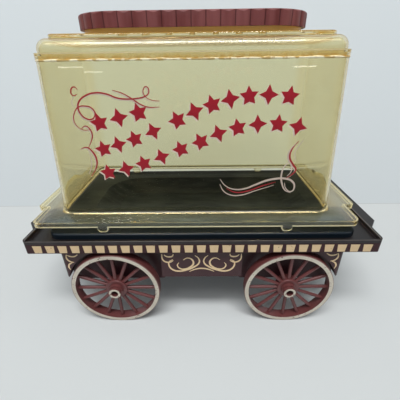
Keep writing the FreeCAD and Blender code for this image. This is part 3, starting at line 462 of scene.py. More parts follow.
def amber_finish(name):
    """Clear amber plastic: deeper in the corners, at the joint, in the neck and at the foot."""
    cover = settings("popcorn_cover")
    f = Finish(name)
    along, out = abs(f.x - cover_x), abs(f.y)

    # the walls, their corners and their end faces, which lean in towards the seam
    lean = (seam_z - f.z) * wall_lean
    near_x = f.rise(along - lean, wall_top_x - 9 * MM, 7 * MM)
    near_y = f.rise(out - lean, wall_top_y - 9 * MM, 7 * MM)
    ends = f.rise(along - lean, wall_top_x - 2.2 * MM, 0.8 * MM) * (1 - near_y)

    # the seam, the dome and the neck
    band_top = seam_z + 5.4 * MM
    seam = f.band(f.z, seam_z - 0.2 * MM, band_top, 0.4 * MM)
    # top of the seam band: a deeper line, with a painted highlight where the pale film covers it
    lines = f.band(f.z, band_top - 1.0 * MM, band_top + 0.2 * MM, 0.3 * MM)
    blotch = f.rise(f.noise(230, 2, stretch=(1, 1, 0.3)), 0.5, 0.12)
    dark = f.band(f.z, seam_z - 0.2 * MM, seam_z + 2.6 * MM, 0.5 * MM) * (0.2 + blotch * 0.8)
    dome = f.rise(f.z, seam_z + 2 * MM, 2 * MM)
    platform = f.rise(f.z, dome_high.z - 19 * MM, 1 * MM)
    neck = f.rise(f.z, platform_z + 0.3 * MM, 0.3 * MM)
    # the part of the neck under the canopy; the painted glow of the neck is weaker there
    covered = f.rise(f.z, platform_z + 5 * MM, 1 * MM)

    # the flange: the crease at the walls, the slope, the lip and the edges of the tabs
    foot = f.band(f.z, shell_crease - 2 * MM, shell_crease + 3.5 * MM, 1.5 * MM)
    slope = f.band(f.z, lip_low + 3.9 * MM, shell_crease - 1.5 * MM, 0.8 * MM)
    far = f.rise(along, shell_high.x - cover_x - 24 * MM, 4 * MM)
    side = f.most(abs(along - tab_x) - 1.5 * MM, 0.0)
    down = f.most(shell_low.z + tab_round - f.z, 0.0)
    outline = f.rise((side * side + down * down) ** 0.5, tab_round - 0.6 * MM, 0.2 * MM)
    # painted highlight: a pale line along the bottom edge of the lip and round the edges of the
    # tabs
    lip_highlight = f.band(f.z, lip_low - 0.1 * MM, lip_low + 0.8 * MM, 0.2 * MM)
    lip_highlight = lip_highlight * f.rise(abs(along - tab_x), 4.8 * MM, 0.3 * MM)
    lip_highlight = f.most(lip_highlight, outline * (1 - f.rise(f.z, lip_low, 0.2 * MM)))

    mask = f.most(near_x * near_y * 0.5, seam * (0.4 + blotch * 0.6), foot * 0.35, lines,
                  platform * 0.4, neck * 0.9)
    mask = mask + f.noise(22, 3) * 0.16 + ends * 0.35 + dome * 0.06
    tint = f.mix(mask, tuple(cover.pale), tuple(cover.deep))
    tint = f.mix(slope * 0.8, tint, (0.90, 0.925, 0.83))
    tint = f.mix(dark * 0.6, tint, (0.80, 0.58, 0.26))

    scratch = f.rise(f.noise(120, 2, stretch=(1, 1, 14)), 0.66, 0.03)
    haze = f.noise(14, 4)
    rough = 0.012 + scratch * 0.03 + haze * 0.015 + foot * 0.2
    rough = rough + dome * (1 - platform) * 0.13 + ends * 0.04
    wavy = f.noise(20, 1) * f.rise(f.z, shell_crease + 8 * MM, 6 * MM)
    normal = f.bump(wavy * (1 - f.rise(f.z, seam_z, 2 * MM) * 0.93), 0.00008)
    glass = f.surface(Base_Color=tint, Roughness=rough, IOR=1.49, Transmission_Weight=1.0,
                      Specular_IOR_Level=0.5, Normal=normal)

    # dust and a painted sheen on the slope, painted highlights along the lip, round the tabs and at
    # the top of the seam band, haze on the end faces, and a painted glow in the thick neck
    smear_and_sheen = f.rise(f.noise(18, 3, stretch=(0.4, 1, 1)), 0.52, 0.12)
    dust_and_sheen = slope * (0.008 + f.noise(35, 3) * 0.04 + smear_and_sheen * 0.07)
    glow = f.most(dust_and_sheen, lip_highlight * 0.6, neck * (0.85 - covered * 0.7), lines * 0.3,
                  ends * (0.05 + haze * 0.16))
    # the film is bluish near the middle of the slope, which is a painted sheen, and browner towards
    # its far ends
    film = f.mix(far, (0.44, 0.53, 0.52), (0.60, 0.50, 0.38))
    film = f.mix(ends, film, (0.88, 0.82, 0.58))
    # painted light: a pale orange glow on the thick neck
    film = f.mix(neck, film, (0.98, 0.66, 0.28))
    # pale film of the painted highlights on the lip, the tabs and the top of the seam band
    film = f.mix(f.most(lip_highlight, lines), film, (0.90, 0.84, 0.62))
    matt = f.surface(Base_Color=film, Roughness=0.4 + haze * 0.1, Normal=normal)

    # light that is caught inside a thin edge leaves it tinted, as it does after many turns,
    # and light that only passes through to other things goes straight on
    path = f.add("ShaderNodeLightPath").socket.node.outputs
    caught = f.most(Value(f, path["Glossy Depth"]) > 1.5,
                    Value(f, path["Transmission Depth"]) > 7.5)
    passing = f.most(Value(f, path["Is Shadow Ray"]), Value(f, path["Is Diffuse Ray"]))
    edge_light = f.add("ShaderNodeBsdfTransparent", inputs={"Color": (*cover.deep, 1.0)})
    clear = f.add("ShaderNodeBsdfTransparent", inputs={"Color": tint})
    body = f.add("ShaderNodeMixShader", inputs=[caught, glass, edge_light])
    body = f.add("ShaderNodeMixShader", inputs=[glow, body, matt])
    return f.finish(f.add("ShaderNodeMixShader", inputs=[passing, body, clear]))


def bead_finish():
    """Cement bead: golden, with browner beads and paler spots along it; the paler spots are painted
    highlights.
    """
    f = Finish("amber_bead")
    drops_and_glints = f.rise(f.noise(170, 2), 0.5, 0.08)
    # paler where the noise is high: painted glints on the bead
    base = f.mix(drops_and_glints, (0.60, 0.41, 0.15), (0.98, 0.90, 0.64))
    rough = 0.16 + (f.noise(300, 2) - 0.5) * 0.1
    return f.finish(f.surface(Base_Color=base, Roughness=rough, Normal=f.bump(drops_and_glints, 0.0001)))


def deck_finish():
    """Dark brown deck with a maroon fascia, a row of cream squares round it and a painted highlight
    along the crest of its rim.
    """
    deck = settings("popcorn_deck")
    f = Finish("deck_plastic")
    cloud, fine = f.noise(30, 3), f.noise(850, 2)
    plastic = f.shade(cloud * 0.6 + fine * 0.4, tuple(deck.plastic), 0.75, 1.3)
    maroon = f.shade(cloud, tuple(deck.maroon), 0.8, 1.2)
    cream = f.shade(f.noise(240, 3) * 0.5 + f.noise(90, 2) * 0.5, tuple(deck.cream), 0.86, 1.1)

    middle = fascia_low + 5.1 * MM
    half = deck.square_height / 2
    height = f.band(f.z, middle - half, middle + half, 0.12 * MM)
    narrow = (middle + half - f.z) * 0.09
    limit = deck.square_pitch * deck.square_count / 2

    def row(place, end):
        share = place / deck.square_pitch + 0.5
        off = abs(share.maths("FRACT") - 0.5) * deck.square_pitch
        inside = 1 - f.rise(off + narrow, deck.square_width / 2, 0.12 * MM)
        return inside * (1 - f.rise(abs(place), end, 0.1 * MM))

    front = f.rise(abs(f.y), -deck_low.y - 0.4 * MM, 0.2 * MM)
    side = f.rise(abs(f.x), deck_high.x - 14 * MM, 0.2 * MM) * (1 - front)
    squares = (front * row(f.x, limit) + side * row(f.y, deck.square_pitch * 6.5)) * height
    ground = f.band(f.z, fascia_low - 1 * MM, middle + half + 1.2 * MM, 0.2 * MM)
    outside = f.most(front, side)
    chipped = f.rise(f.noise(420, 3), 0.69, 0.02) * f.rise(f.noise(40, 2), 0.55, 0.05)
    squares = squares * (1 - chipped * 0.6)
    base = f.mix(ground * outside, plastic, maroon)
    base = f.mix(squares, base, cream)
    # uneven strength of the worn paler edge and of the painted highlight on the crest
    worn = 0.45 + f.noise(130, 3) * 0.7
    edge = f.band(f.z, middle + half + 1.6 * MM, deck_high.z - 0.3 * MM, 0.3 * MM) * outside * 0.6
    base = f.mix(edge * worn, base, (0.060, 0.048, 0.050))
    # painted highlight: a paler line along the crest of the low front and back rim and along the
    # top of the side rims
    crest_highlight = f.band(f.z, low_rim - 0.7 * MM, low_rim + 0.1 * MM, 0.2 * MM) * front
    inner = 1 - f.rise(abs(f.x), deck_high.x - 11.9 * MM, 0.3 * MM)
    crest_highlight = f.most(crest_highlight, f.rise(f.z, deck_high.z - 0.7 * MM, 0.2 * MM) * inner)
    base = f.mix(crest_highlight * worn * 0.8, base, (0.13, 0.115, 0.105))
    rough = 0.36 + (cloud - 0.5) * 0.14 + squares * 0.12
    normal = f.bump(fine * 0.5 + squares * 2.0, 0.00004)
    return f.finish(f.surface(Base_Color=base, Roughness=rough, Specular_IOR_Level=0.3,
                              Normal=normal))


def body_finish():
    """Wagon body: dark plastic with the front and back panels inked maroon."""
    deck = settings("popcorn_deck")
    f = Finish("body_plastic")
    cloud, fine = f.noise(30, 3), f.noise(800, 2)
    plastic = f.shade(cloud * 0.6 + fine * 0.4, tuple(c * 0.8 for c in deck.plastic), 0.75, 1.25)
    maroon = f.shade(cloud, tuple(deck.maroon), 0.8, 1.2)
    face = f.rise(abs(f.y), body_face - 16 * MM, 0.1 * MM)
    panel = face * (1 - f.rise(abs(f.x), body_high.x - 2 * MM, 0.2 * MM))
    streak = f.noise(60, 3, stretch=(1, 1, 3))
    maroon = f.mix(streak, maroon, tuple(c * 1.5 for c in deck.maroon))
    base = f.mix(panel, plastic, maroon)
    rough = 0.42 + (cloud - 0.5) * 0.16
    return f.finish(f.surface(Base_Color=base, Roughness=rough, Normal=f.bump(fine, 0.00003)))


def pan_finish():
    """Black non-stick coating: fine speckle, rubbed patches in the dish, a blue-black edge whose
    blue is a painted highlight.
    """
    pan = settings("popcorn_pan")
    f = Finish("non_stick_pan")
    speckle = f.rise(f.noise(1500, 1), 0.68, 0.03)
    cloud = f.noise(18, 4)
    swirl = f.noise(40, 4, stretch=(1, 4, 1))
    frame = f.rise(abs(f.y), pan_high.y - 14 * MM, 3 * MM)
    # the rounded edge, coloured blue-black as a painted highlight and given a coat
    round_y = f.rise(abs(f.y), pan_high.y - 2.5 * MM, 0.5 * MM)
    round_x = f.rise(abs(f.x), pan_high.x - 2.5 * MM, 0.5 * MM)
    edge = f.most(round_y, round_x)
    patch = f.rise(f.noise(13, 3), 0.5, 0.07) * 0.45 + f.rise(swirl, 0.5, 0.14) * 0.55
    dish = f.mix(patch, (0.0050, 0.0080, 0.0090), tuple(pan.dish))
    base = f.mix(cloud, (0.0032, 0.0050, 0.0060), tuple(pan.frame))
    base = f.mix(frame, dish, base)
    base = f.mix(speckle * 0.5, base, (0.03, 0.031, 0.032))
    base = f.mix(edge, base, tuple(pan.edge))
    rough = 0.32 + cloud * 0.08 + (swirl - 0.5) * 0.1 + frame * 0.15
    normal = f.bump(f.noise(1100, 2), 0.000003)
    return f.finish(f.surface(Base_Color=base, Roughness=rough, Specular_IOR_Level=0.05,
                              Coat_Weight=edge * 0.5, Coat_Roughness=0.22, Normal=normal))


def wheel_finish():
    """Maroon wheels with a cream ring on the rim's face and on the end of the nose."""
    wheel = settings("popcorn_wheel")
    f = Finish("wheel_plastic")
    cloud, fine = f.noise(32, 3), f.noise(800, 2)
    maroon = f.shade(cloud * 0.6 + fine * 0.4, tuple(wheel.maroon), 0.8, 1.2)
    cream = f.shade(f.noise(160, 4), tuple(wheel.ring), 0.84, 1.08)
    dx, dz = abs(f.x) - wheel_x, f.z - wheel_z
    radius = (dx * dx + dz * dz) ** 0.5
    depth = abs(f.y)
    rim_face = wheel_nose - 5.0 * MM
    ring = f.rise(radius, wheel_radius - wheel.ring_width + 0.1 * MM, 0.06 * MM)
    ring = ring * f.rise(depth, rim_face - 0.35 * MM, 0.1 * MM)
    ring = ring * (1 - f.rise(radius, wheel_radius - 0.75 * MM, 0.15 * MM) * 0.8)
    nose = f.rise(depth, wheel_nose - 0.25 * MM, 0.06 * MM)
    nose = nose * f.band(radius, 3.95 * MM, 3.9 * MM + wheel.nose_width, 0.05 * MM)
    chips = f.rise(f.noise(300, 4), 0.62, 0.02) * f.rise(f.noise(45, 3), 0.5, 0.05)
    painted = (ring + nose) * (1 - chips * 0.8)
    grime = f.rise(f.noise(70, 4), 0.5, 0.16) * 0.25
    base = f.mix(painted, maroon, f.mix(grime, cream, (0.34, 0.28, 0.22)))
    rough = 0.36 + (cloud - 0.5) * 0.14 + painted * 0.1
    normal = f.bump(fine * 0.5 + painted * 2.0, 0.00003)
    return f.finish(f.surface(Base_Color=base, Roughness=rough, Normal=normal))


def canopy_finish():
    """Maroon canopy, a little paler where the flutes are rubbed, which also stands for a painted
    sheen, and with painted shade in the valleys between its flutes.
    """
    wheel = settings("popcorn_wheel")
    f = Finish("canopy_plastic")
    cloud, fine = f.noise(32, 3), f.noise(800, 2)
    streak = f.noise(160, 3, stretch=(1, 1, 0.12))
    straight, bow = canopy_straight, canopy_high.y - 1.3 * MM
    past = f.most(abs(f.x - cover_x) - straight, 0.0)
    turn = past.maths("ARCTAN2", abs(f.y))
    way = abs(f.x - cover_x).maths("MINIMUM", straight) + turn * bow
    pitch = (2 * straight + math.pi * bow) / canopy_flutes
    off = abs((way / pitch + 0.5).maths("FRACT") - 0.5) * pitch
    # painted shade: a dark line in the valley between two flutes
    groove_shade = 1 - f.rise(off, 0.45 * MM, 0.35 * MM)
    groove_shade = groove_shade * (1 - f.rise(f.z, canopy_high.z - 0.4 * MM, 0.3 * MM))
    groove_shade = groove_shade * f.rise((past * past + f.y * f.y) ** 0.5, bow - 4 * MM, 0.5 * MM)
    flute = f.noise(62, 1, stretch=(1, 1, 0.02))
    # paler patches on the flutes: rubbing, and a painted sheen
    patchy = f.rise(streak * 0.5 + flute * 0.5, 0.5, 0.16)
    maroon = f.mix(patchy, tuple(wheel.canopy), tuple(wheel.rubbed))
    maroon = f.mix(cloud * 0.5, maroon, (0.17, 0.040, 0.042))
    # paler near the top: rubbing, and a painted sheen
    rubbed = f.rise(f.noise(50, 4), 0.56, 0.1) * f.rise(f.z, canopy_high.z - 3 * MM, 2 * MM)
    base = f.mix(rubbed * 0.25, maroon, (0.24, 0.10, 0.10))
    base = f.mix(groove_shade * 0.7, base, (0.040, 0.008, 0.009))
    rough = 0.5 + (cloud - 0.5) * 0.16 + (streak - 0.5) * 0.1
    return f.finish(f.surface(Base_Color=base, Roughness=rough, Specular_IOR_Level=0.3,
                              Normal=f.bump(fine, 0.00004)))


# ---------------------------------------------------------------- operators
class POPCORN_OT_wagon(bpy.types.Operator):
    """Finish the deck and the wagon body"""
    bl_idname = "popcorn.wagon"
    bl_label = "Deck and body"

    def execute(self, context):
        paint(deck_finish(), "deck")
        paint(body_finish(), "wagon_body")
        return {"FINISHED"}


class POPCORN_OT_pan(bpy.types.Operator):
    """Finish the pan and the heating gear under it"""
    bl_idname = "popcorn.pan"
    bl_label = "Pan and heating gear"

    def execute(self, context):
        paint(pan_finish(), "popping_pan")
        paint(metal("element_sheath", (0.20, 0.17, 0.15), 0.45, scale=400, tarnish=(0.6, 1.3)),
              "heating_element")
        paint(metal("sheet_steel", (0.55, 0.55, 0.56), 0.34, brushed=(1, 18, 1)), "bottom_plate",
              "element_straps", "heat_shield")
        paint(metal("thermostat_case", (0.60, 0.58, 0.53), 0.3, scale=500), "thermostat")
        paint(metal("fuse_case", (0.70, 0.70, 0.68), 0.28, scale=900), "thermal_fuse")
        paint(moulded("terminal_ceramic", (0.74, 0.70, 0.63), 0.3, mottle=(0.92, 1.04)),
              "terminal_block")
        paint(metal("brass", (0.62, 0.45, 0.18), 0.28, scale=700), "terminal_screws")
        paint(moulded("lead_sleeve", (0.66, 0.63, 0.56), 0.62, grain=0.0001), "live_inlet_lead",
              "neutral_inlet_lead", "thermostat_lead", "live_element_lead",
              "neutral_element_lead")
        return {"FINISHED"}


class POPCORN_OT_hardware(bpy.types.Operator):
    """Finish the axles, screws, nuts, inlet and rating plate"""
    bl_idname = "popcorn.hardware"
    bl_label = "Hardware and inlet"

    def execute(self, context):
        paint(metal("zinc_steel", (0.58, 0.58, 0.56), 0.36, scale=350), "plate_screws",
              "deck_screws", "pan_studs", "pan_nuts", "element_studs", "element_nuts",
              "thermostat_screws", "inlet_screws", "left_axle", "right_axle", "axle_push_nuts")
        paint(moulded("inlet_plastic", (0.020, 0.020, 0.022), 0.34), "appliance_inlet")
        paint(metal("inlet_contact", (0.70, 0.64, 0.50), 0.25, scale=700), "inlet_pins")
        paint(metal("aluminium_label", (0.76, 0.76, 0.77), 0.3, brushed=(18, 1, 1)),
              "rating_plate")
        return {"FINISHED"}


class POPCORN_OT_cover(bpy.types.Operator):
    """Finish the clear cover and lay the bead of its joint"""
    bl_idname = "popcorn.cover"
    bl_label = "Clear cover"

    def execute(self, context):
        paint(amber_finish("amber_plastic"), "cover_shell", "cover_dome")
        bead = joint_bead()
        settle([bead], "joint_bead", bead_finish(), "cover")
        return {"FINISHED"}


def joint_bead():
    """Uneven bead of cement where the dome is joined to the walls."""
    cover = settings("popcorn_cover")
    start_clean()
    bpy.ops.curve.primitive_bezier_circle_add(location=(0, 0, 0))
    ring = bpy.context.object
    curve = ring.data
    curve.dimensions, curve.bevel_depth, curve.bevel_resolution = "3D", cover.bead_radius, 2
    curve.resolution_u = 2
    corner = 12 * MM
    far_x, far_y = wall_top_x, wall_top_y
    in_x, in_y = far_x - corner, far_y - corner     # where a corner's arc has its middle
    # each side: where it starts and ends, its beads, and the middle of the arc after it
    sides = (((far_x, -in_y), (far_x, in_y), 16, (in_x, in_y)),
             ((in_x, far_y), (-in_x, far_y), 42, (-in_x, in_y)),
             ((-far_x, in_y), (-far_x, -in_y), 16, (-in_x, -in_y)),
             ((-in_x, -far_y), (in_x, -far_y), 42, (in_x, -in_y)))
    places = []
    for side, (start, end, count, middle) in enumerate(sides):
        for k in range(count):
            share = k / (count - 1)
            places.append([a + (b - a) * share for a, b in zip(start, end)])
        for k in range(1, 4):
            angle = side * math.pi / 2 + k * math.pi / 8
            places.append([middle[0] + corner * math.cos(angle),
                           middle[1] + corner * math.sin(angle)])
    spline = curve.splines[0]
    spline.bezier_points.add(len(places) - len(spline.bezier_points))
    for k, (knot, (x, y)) in enumerate(zip(spline.bezier_points, places)):
        wave = math.sin(k * 2.1) * 0.5 + math.sin(k * 0.83 + 1.0) * 0.3 + math.sin(k * 3.7) * 0.2
        knot.co = (cover_x + x, y, seam_z - 0.35 * MM + 0.12 * MM * wave)
        knot.radius = 1.0 + 0.45 * wave
        knot.handle_left_type = knot.handle_right_type = "AUTO"
    bpy.ops.object.convert(target="MESH")
    return bpy.context.object


def along_bend(bend, share):
    """Point and slope on a bend given by four points."""
    a, b, c, d = (Vector(point) for point in bend)
    rest = 1 - share
    point = a * rest ** 3 + b * 3 * rest * rest * share + c * 3 * rest * share ** 2 + d * share ** 3
    way = (b - a) * rest * rest + (c - b) * 2 * rest * share + (d - c) * share * share
    return point, math.atan2(way.y, way.x)


def wall_matrix():
    """Lays a drawing on the front wall of the cover, with its middle at the cover's middle."""
    origin = (cover_x, -wall_top_y - 0.02 * MM, seam_z)
    return facing(origin, (1, 0, 0), (0, wall_lean, 1))


class POPCORN_OT_stars(bpy.types.Operator):
    """Print three arched rows of stars with drop shadows on the cover"""
    bl_idname = "popcorn.stars"
    bl_label = "Rows of stars"

    def execute(self, context):
        ink = settings("popcorn_print")
        wall = wall_matrix()
        glyphs = [star(1.0, 0.52, 5, ink.ink), star(1.0, 0.46, 4, ink.ink)]
        drop = Matrix.Translation(Vector((-1.2, -1.1, 0)) * MM)
        red, cream = [], []
        # each group: the bend that its middles follow, how many, and their size
        groups = (
            (((-86, -51.5), (-74, -49), (-61, -46), (-49, -43)), 3, 1.06),
            (((-86, -76), (-72, -72.5), (-56, -68), (-37, -60)), 4, 1.0),
            (((-14, -50), (18, -34), (48, -26), (86, -30.5)), 7, 1.04),
            (((-85, -99.6), (-60, -96), (-38, -87.5), (-12, -77)), 5, 1.0),
            (((7, -70), (34, -56), (66, -50), (97, -57)), 6, 1.04),
        )
        for bend, count, size in groups:
            for k in range(count):
                middle, slope = along_bend(bend, k / (count - 1))
                wide = Matrix.Diagonal((ink.star_radius * size, ink.star_radius * size, 1, 1))
                spot = (Matrix.Translation((middle * MM).to_3d())
                        @ Matrix.Rotation(slope, 4, "Z") @ wide)
                low = Matrix.Scale(0.5, 4, (0, 0, 1))
                red.append(own_copy(glyphs[k % 2], wall @ spot))
                cream.append(own_copy(glyphs[k % 2], wall @ drop @ spot @ low))
        for glyph in glyphs:
            bpy.data.objects.remove(glyph)
        settle(red, "star_print", ink_finish("red_ink", tuple(ink.red)), "cover")
        settle(cream, "star_shadow_print", ink_finish("cream_ink", tuple(ink.cream)), "cover")
        return {"FINISHED"}


class POPCORN_OT_flourishes(bpy.types.Operator):
    """Print the pen flourishes beside and below the stars"""
    bl_idname = "popcorn.flourishes"
    bl_label = "Flourishes"

    def execute(self, context):
        ink = settings("popcorn_print")
        wall = wall_matrix()
        strokes = (
            # left: a hook, a large loop, a long wave and a small curl in one line
            ([(-96, -58), (-102, -58), (-107, -54.5), (-109, -49), (-107, -42.5), (-103, -38),
              (-96, -37), (-90.5, -39), (-88.5, -44), (-92.5, -48.5), (-98, -47.5), (-102, -43),
              (-103, -38), (-101, -33), (-95, -28.5), (-86, -26), (-76, -27), (-66.5, -30.5),
              (-58, -31.5), (-49, -31), (-42, -29.5), (-38, -26), (-40, -21.5), (-43, -25),
              (-41.5, -29.5), (-36.5, -32.5), (-29, -33.5)], 1.25, True),
            ([(-70, -24), (-62, -26.5), (-54, -31), (-46.5, -36), (-39.5, -38.5), (-29.5, -38.5)],
             1.05, True),
            ([(-104, -57.5), (-99.5, -54.5), (-96, -57), (-94.5, -62.5), (-96.5, -68.5),
              (-100.5, -75)], 1.1, True),
            ([(-108, -76), (-102, -74.5), (-97, -79), (-94.5, -87), (-96, -94), (-102.5, -103.5)],
             1.5, True),
            ([(-101, -77), (-100, -84), (-100.5, -92.5), (-104.5, -101.5)], 0.7, False),
            ([(-100.5, -23.5), (-103, -21), (-106.5, -24), (-105.5, -28), (-101.5, -27)], 1.2,
             True),
            ([(-104.5, -28.5), (-107.5, -33), (-107, -38)], 0.7, False),
            # lower right: three swashes, two loops and a tall pen stroke
            ([(26, -108), (31.5, -115), (40, -119), (51.5, -118.5), (61.5, -114.5), (72.5, -110),
              (82.5, -108), (91, -108), (98, -110.5), (101.5, -116.5), (99, -122), (93, -118.5),
              (91, -112.5)], 1.9, False),
            ([(26, -113.5), (30, -121), (37.5, -125.5), (49, -125.5), (62, -121), (80.5, -115)],
             1.2, False),
            ([(32.5, -118), (42, -122.5), (55, -121), (68, -116), (82, -111.5)], 1.4, True),
            ([(99.5, -70.5), (94.5, -77.5), (93, -86), (97.5, -94), (100.5, -98.5),
              (97.5, -103.5), (92, -107.5)], 1.7, True),
            ([(97.5, -72.5), (92, -79.5), (91.5, -88), (95.5, -94.5), (96, -101), (92.5, -105.5)],
             1.2, False),
            ([(94.5, -90.5), (89.5, -94.5), (87, -103.5), (88.5, -113), (92.5, -120.5),
              (98.5, -123.5)], 1.5, False),
            ([(104, -69), (100, -75), (97.5, -80.5), (99, -89.5)], 0.8, False),
        )
        red, cream = [], []
        for points, width, is_red in strokes:
            line = [(x * MM, y * MM) for x, y in points]
            made = ink_stroke(line, swell(len(line), 0.5 * MM, width * 1.12 * MM), ink.ink * 0.8)
            made.matrix_world = wall
            (red if is_red else cream).append(made)
            if is_red and len(points) > 5:
                under = own_copy(made, wall @ Matrix.Translation(Vector((-0.8, -0.9, 0)) * MM)
                                 @ Matrix.Scale(0.5, 4, (0, 0, 1)))
                cream.append(under)
        settle(red, "flourish_print", ink_finish("red_line", (0.40, 0.014, 0.022)), "cover")
        settle(cream, "flourish_shadow_print", ink_finish("cream_line", (0.62, 0.50, 0.42)),
               "cover")
        return {"FINISHED"}


class POPCORN_OT_scrolls(bpy.types.Operator):
    """Print the cream scrolls on the apron, between and beside the wheels"""
    bl_idname = "popcorn.scrolls"
    bl_label = "Apron scrolls"

    def execute(self, context):
        deck = settings("popcorn_deck")
        ink = 0.12 * MM
        centre = (
            ([(-42.0, 96.5), (-41.4, 89.0), (-37.8, 85.8), (-33.0, 86.0), (-30.2, 88.0)], 1.4),
            ([(-39.8, 95.6), (-37.5, 93.6), (-34.0, 92.9), (-31.0, 93.8), (-29.8, 96.6)], 1.3),
            ([(-30.5, 89.2), (-34.5, 86.4), (-35.2, 81.0), (-31.5, 75.2), (-25.0, 73.0),
              (-17.0, 74.6), (-8.0, 79.0), (-2.6, 85.0), (-3.4, 91.0), (-7.0, 94.6)], 1.6),
            ([(-24.4, 84.8), (-26.2, 81.6), (-23.6, 76.8), (-18.6, 75.8), (-12.0, 79.0),
              (-8.8, 84.0), (-10.6, 89.4), (-15.0, 91.2), (-19.6, 88.6)], 1.5),
        )
        arch = ([(-13.6, 72.4), (-7.0, 75.6), (0.0, 76.8), (7.0, 75.6), (13.6, 72.4)], 1.3)
        end = (
            ([(-143.4, 96.2), (-140.4, 94.4), (-135.5, 94.0), (-131.4, 96.4)], 1.3),
            ([(-143.6, 96.4), (-144.0, 91.0), (-141.4, 87.4), (-137.2, 86.0)], 1.4),
            ([(-139.0, 85.8), (-142.8, 83.6), (-144.4, 79.8), (-143.4, 75.4)], 1.4),
        )
        cream = ink_finish("scroll_ink", tuple(c * 1.15 for c in deck.cream), 0.4)
        for name, turn in (("front", 1), ("back", -1)):
            drawing = facing((0, -turn * (body_face + 0.01 * MM), 0), (turn, 0, 0), (0, 0, 1))
            strokes = end if turn < 0 else centre + end
            made = []
            for mirror in (1, -1):
                for points, width in strokes + ((arch,) if mirror > 0 and turn > 0 else ()):
                    line = [(mirror * x * MM, z * MM) for x, z in points]
                    stroke = ink_stroke(line, swell(len(line), 0.8 * MM, width * 1.4 * MM), ink, 8)
                    stroke.matrix_world = drawing
                    made.append(stroke)
            settle(made, name + "_scroll_print", cream, "base")
        return {"FINISHED"}


class POPCORN_OT_running_gear(bpy.types.Operator):
    """Finish the four wheels and the canopy"""
    bl_idname = "popcorn.running_gear"
    bl_label = "Wheels and canopy"

    def execute(self, context):
        paint(wheel_finish(), "front_left_wheel", "front_right_wheel", "back_left_wheel",
              "back_right_wheel")
        paint(canopy_finish(), "canopy")
        return {"FINISHED"}


class POPCORN_OT_stage(bpy.types.Operator):
    """Set up the table, the backdrop, the light and the camera"""
    bl_idname = "popcorn.stage"
    bl_label = "Stage"

    def execute(self, context):
        stage = settings("popcorn_stage")
        build_sweep(stage)
        build_light(stage)
        build_camera()
        context.scene.view_settings.view_transform = "Standard"
        return {"FINISHED"}


def build_sweep(stage):
    """Table that turns up into a wall behind; the wall can't be seen from its back."""
    start_clean()
    bpy.ops.mesh.primitive_plane_add(size=1, location=(0, 0, 0))
    sweep = bpy.context.object
    sweep.name = "sweep"
    sweep.scale = (12, 12, 1)
    sweep.location = (0, stage.wall_y - 6, 0)
    bpy.ops.object.transform_apply(location=True, rotation=True, scale=True)
    bpy.ops.object.mode_set(mode="EDIT")
    bpy.ops.mesh.select_all(action="DESELECT")
    mesh = bmesh.from_edit_mesh(sweep.data)
    for edge in mesh.edges:
        edge.select = all(abs(v.co.y - stage.wall_y) < 1e-5 for v in edge.verts)
    bmesh.update_edit_mesh(sweep.data)
    bpy.ops.mesh.extrude_region_move(TRANSFORM_OT_translate={"value": (0, 0, 6)})
    bpy.ops.mesh.select_all(action="DESELECT")
    mesh = bmesh.from_edit_mesh(sweep.data)
    for edge in mesh.edges:
        edge.select = all(abs(v.co.y - stage.wall_y) < 1e-5 and abs(v.co.z) < 1e-5
                          for v in edge.verts)
    bmesh.update_edit_mesh(sweep.data)
    bpy.ops.mesh.bevel(offset=0.002, segments=4, affect="EDGES")
    bpy.ops.object.mode_set(mode="OBJECT")
    bpy.ops.object.shade_smooth()
    f = Finish("sweep")
    up = f.rise(f.z, 0.0015, 0.0008)
    patch = f.noise(3, 2)
    base = f.mix(up, tuple(stage.table), tuple(stage.wall))
    base = f.mix(patch * 0.12, base, (0.70, 0.72, 0.72))
    joint = f.band(f.z, 0.0003, 0.0013, 0.0003)
    base = f.mix(joint * 0.5, base, (0.30, 0.32, 0.33))
    # a dark flag in front of the table: only glossy surfaces mirror it
    glossy = Value(f, f.add("ShaderNodeLightPath").socket.node.outputs["Is Glossy Ray"])
    base = f.mix(glossy * (1 - f.rise(f.y, -0.36, 0.06)), base, (0.04, 0.04, 0.04))
    matt = f.surface(Base_Color=base, Roughness=0.75 + (f.noise(40, 2) - 0.5) * 0.1)
    back = f.add("ShaderNodeNewGeometry", output="Backfacing")
    gone = f.add("ShaderNodeBsdfTransparent")
    sweep.data.materials.append(f.finish(f.add("ShaderNodeMixShader", inputs=[back, matt, gone])))
    start_clean()


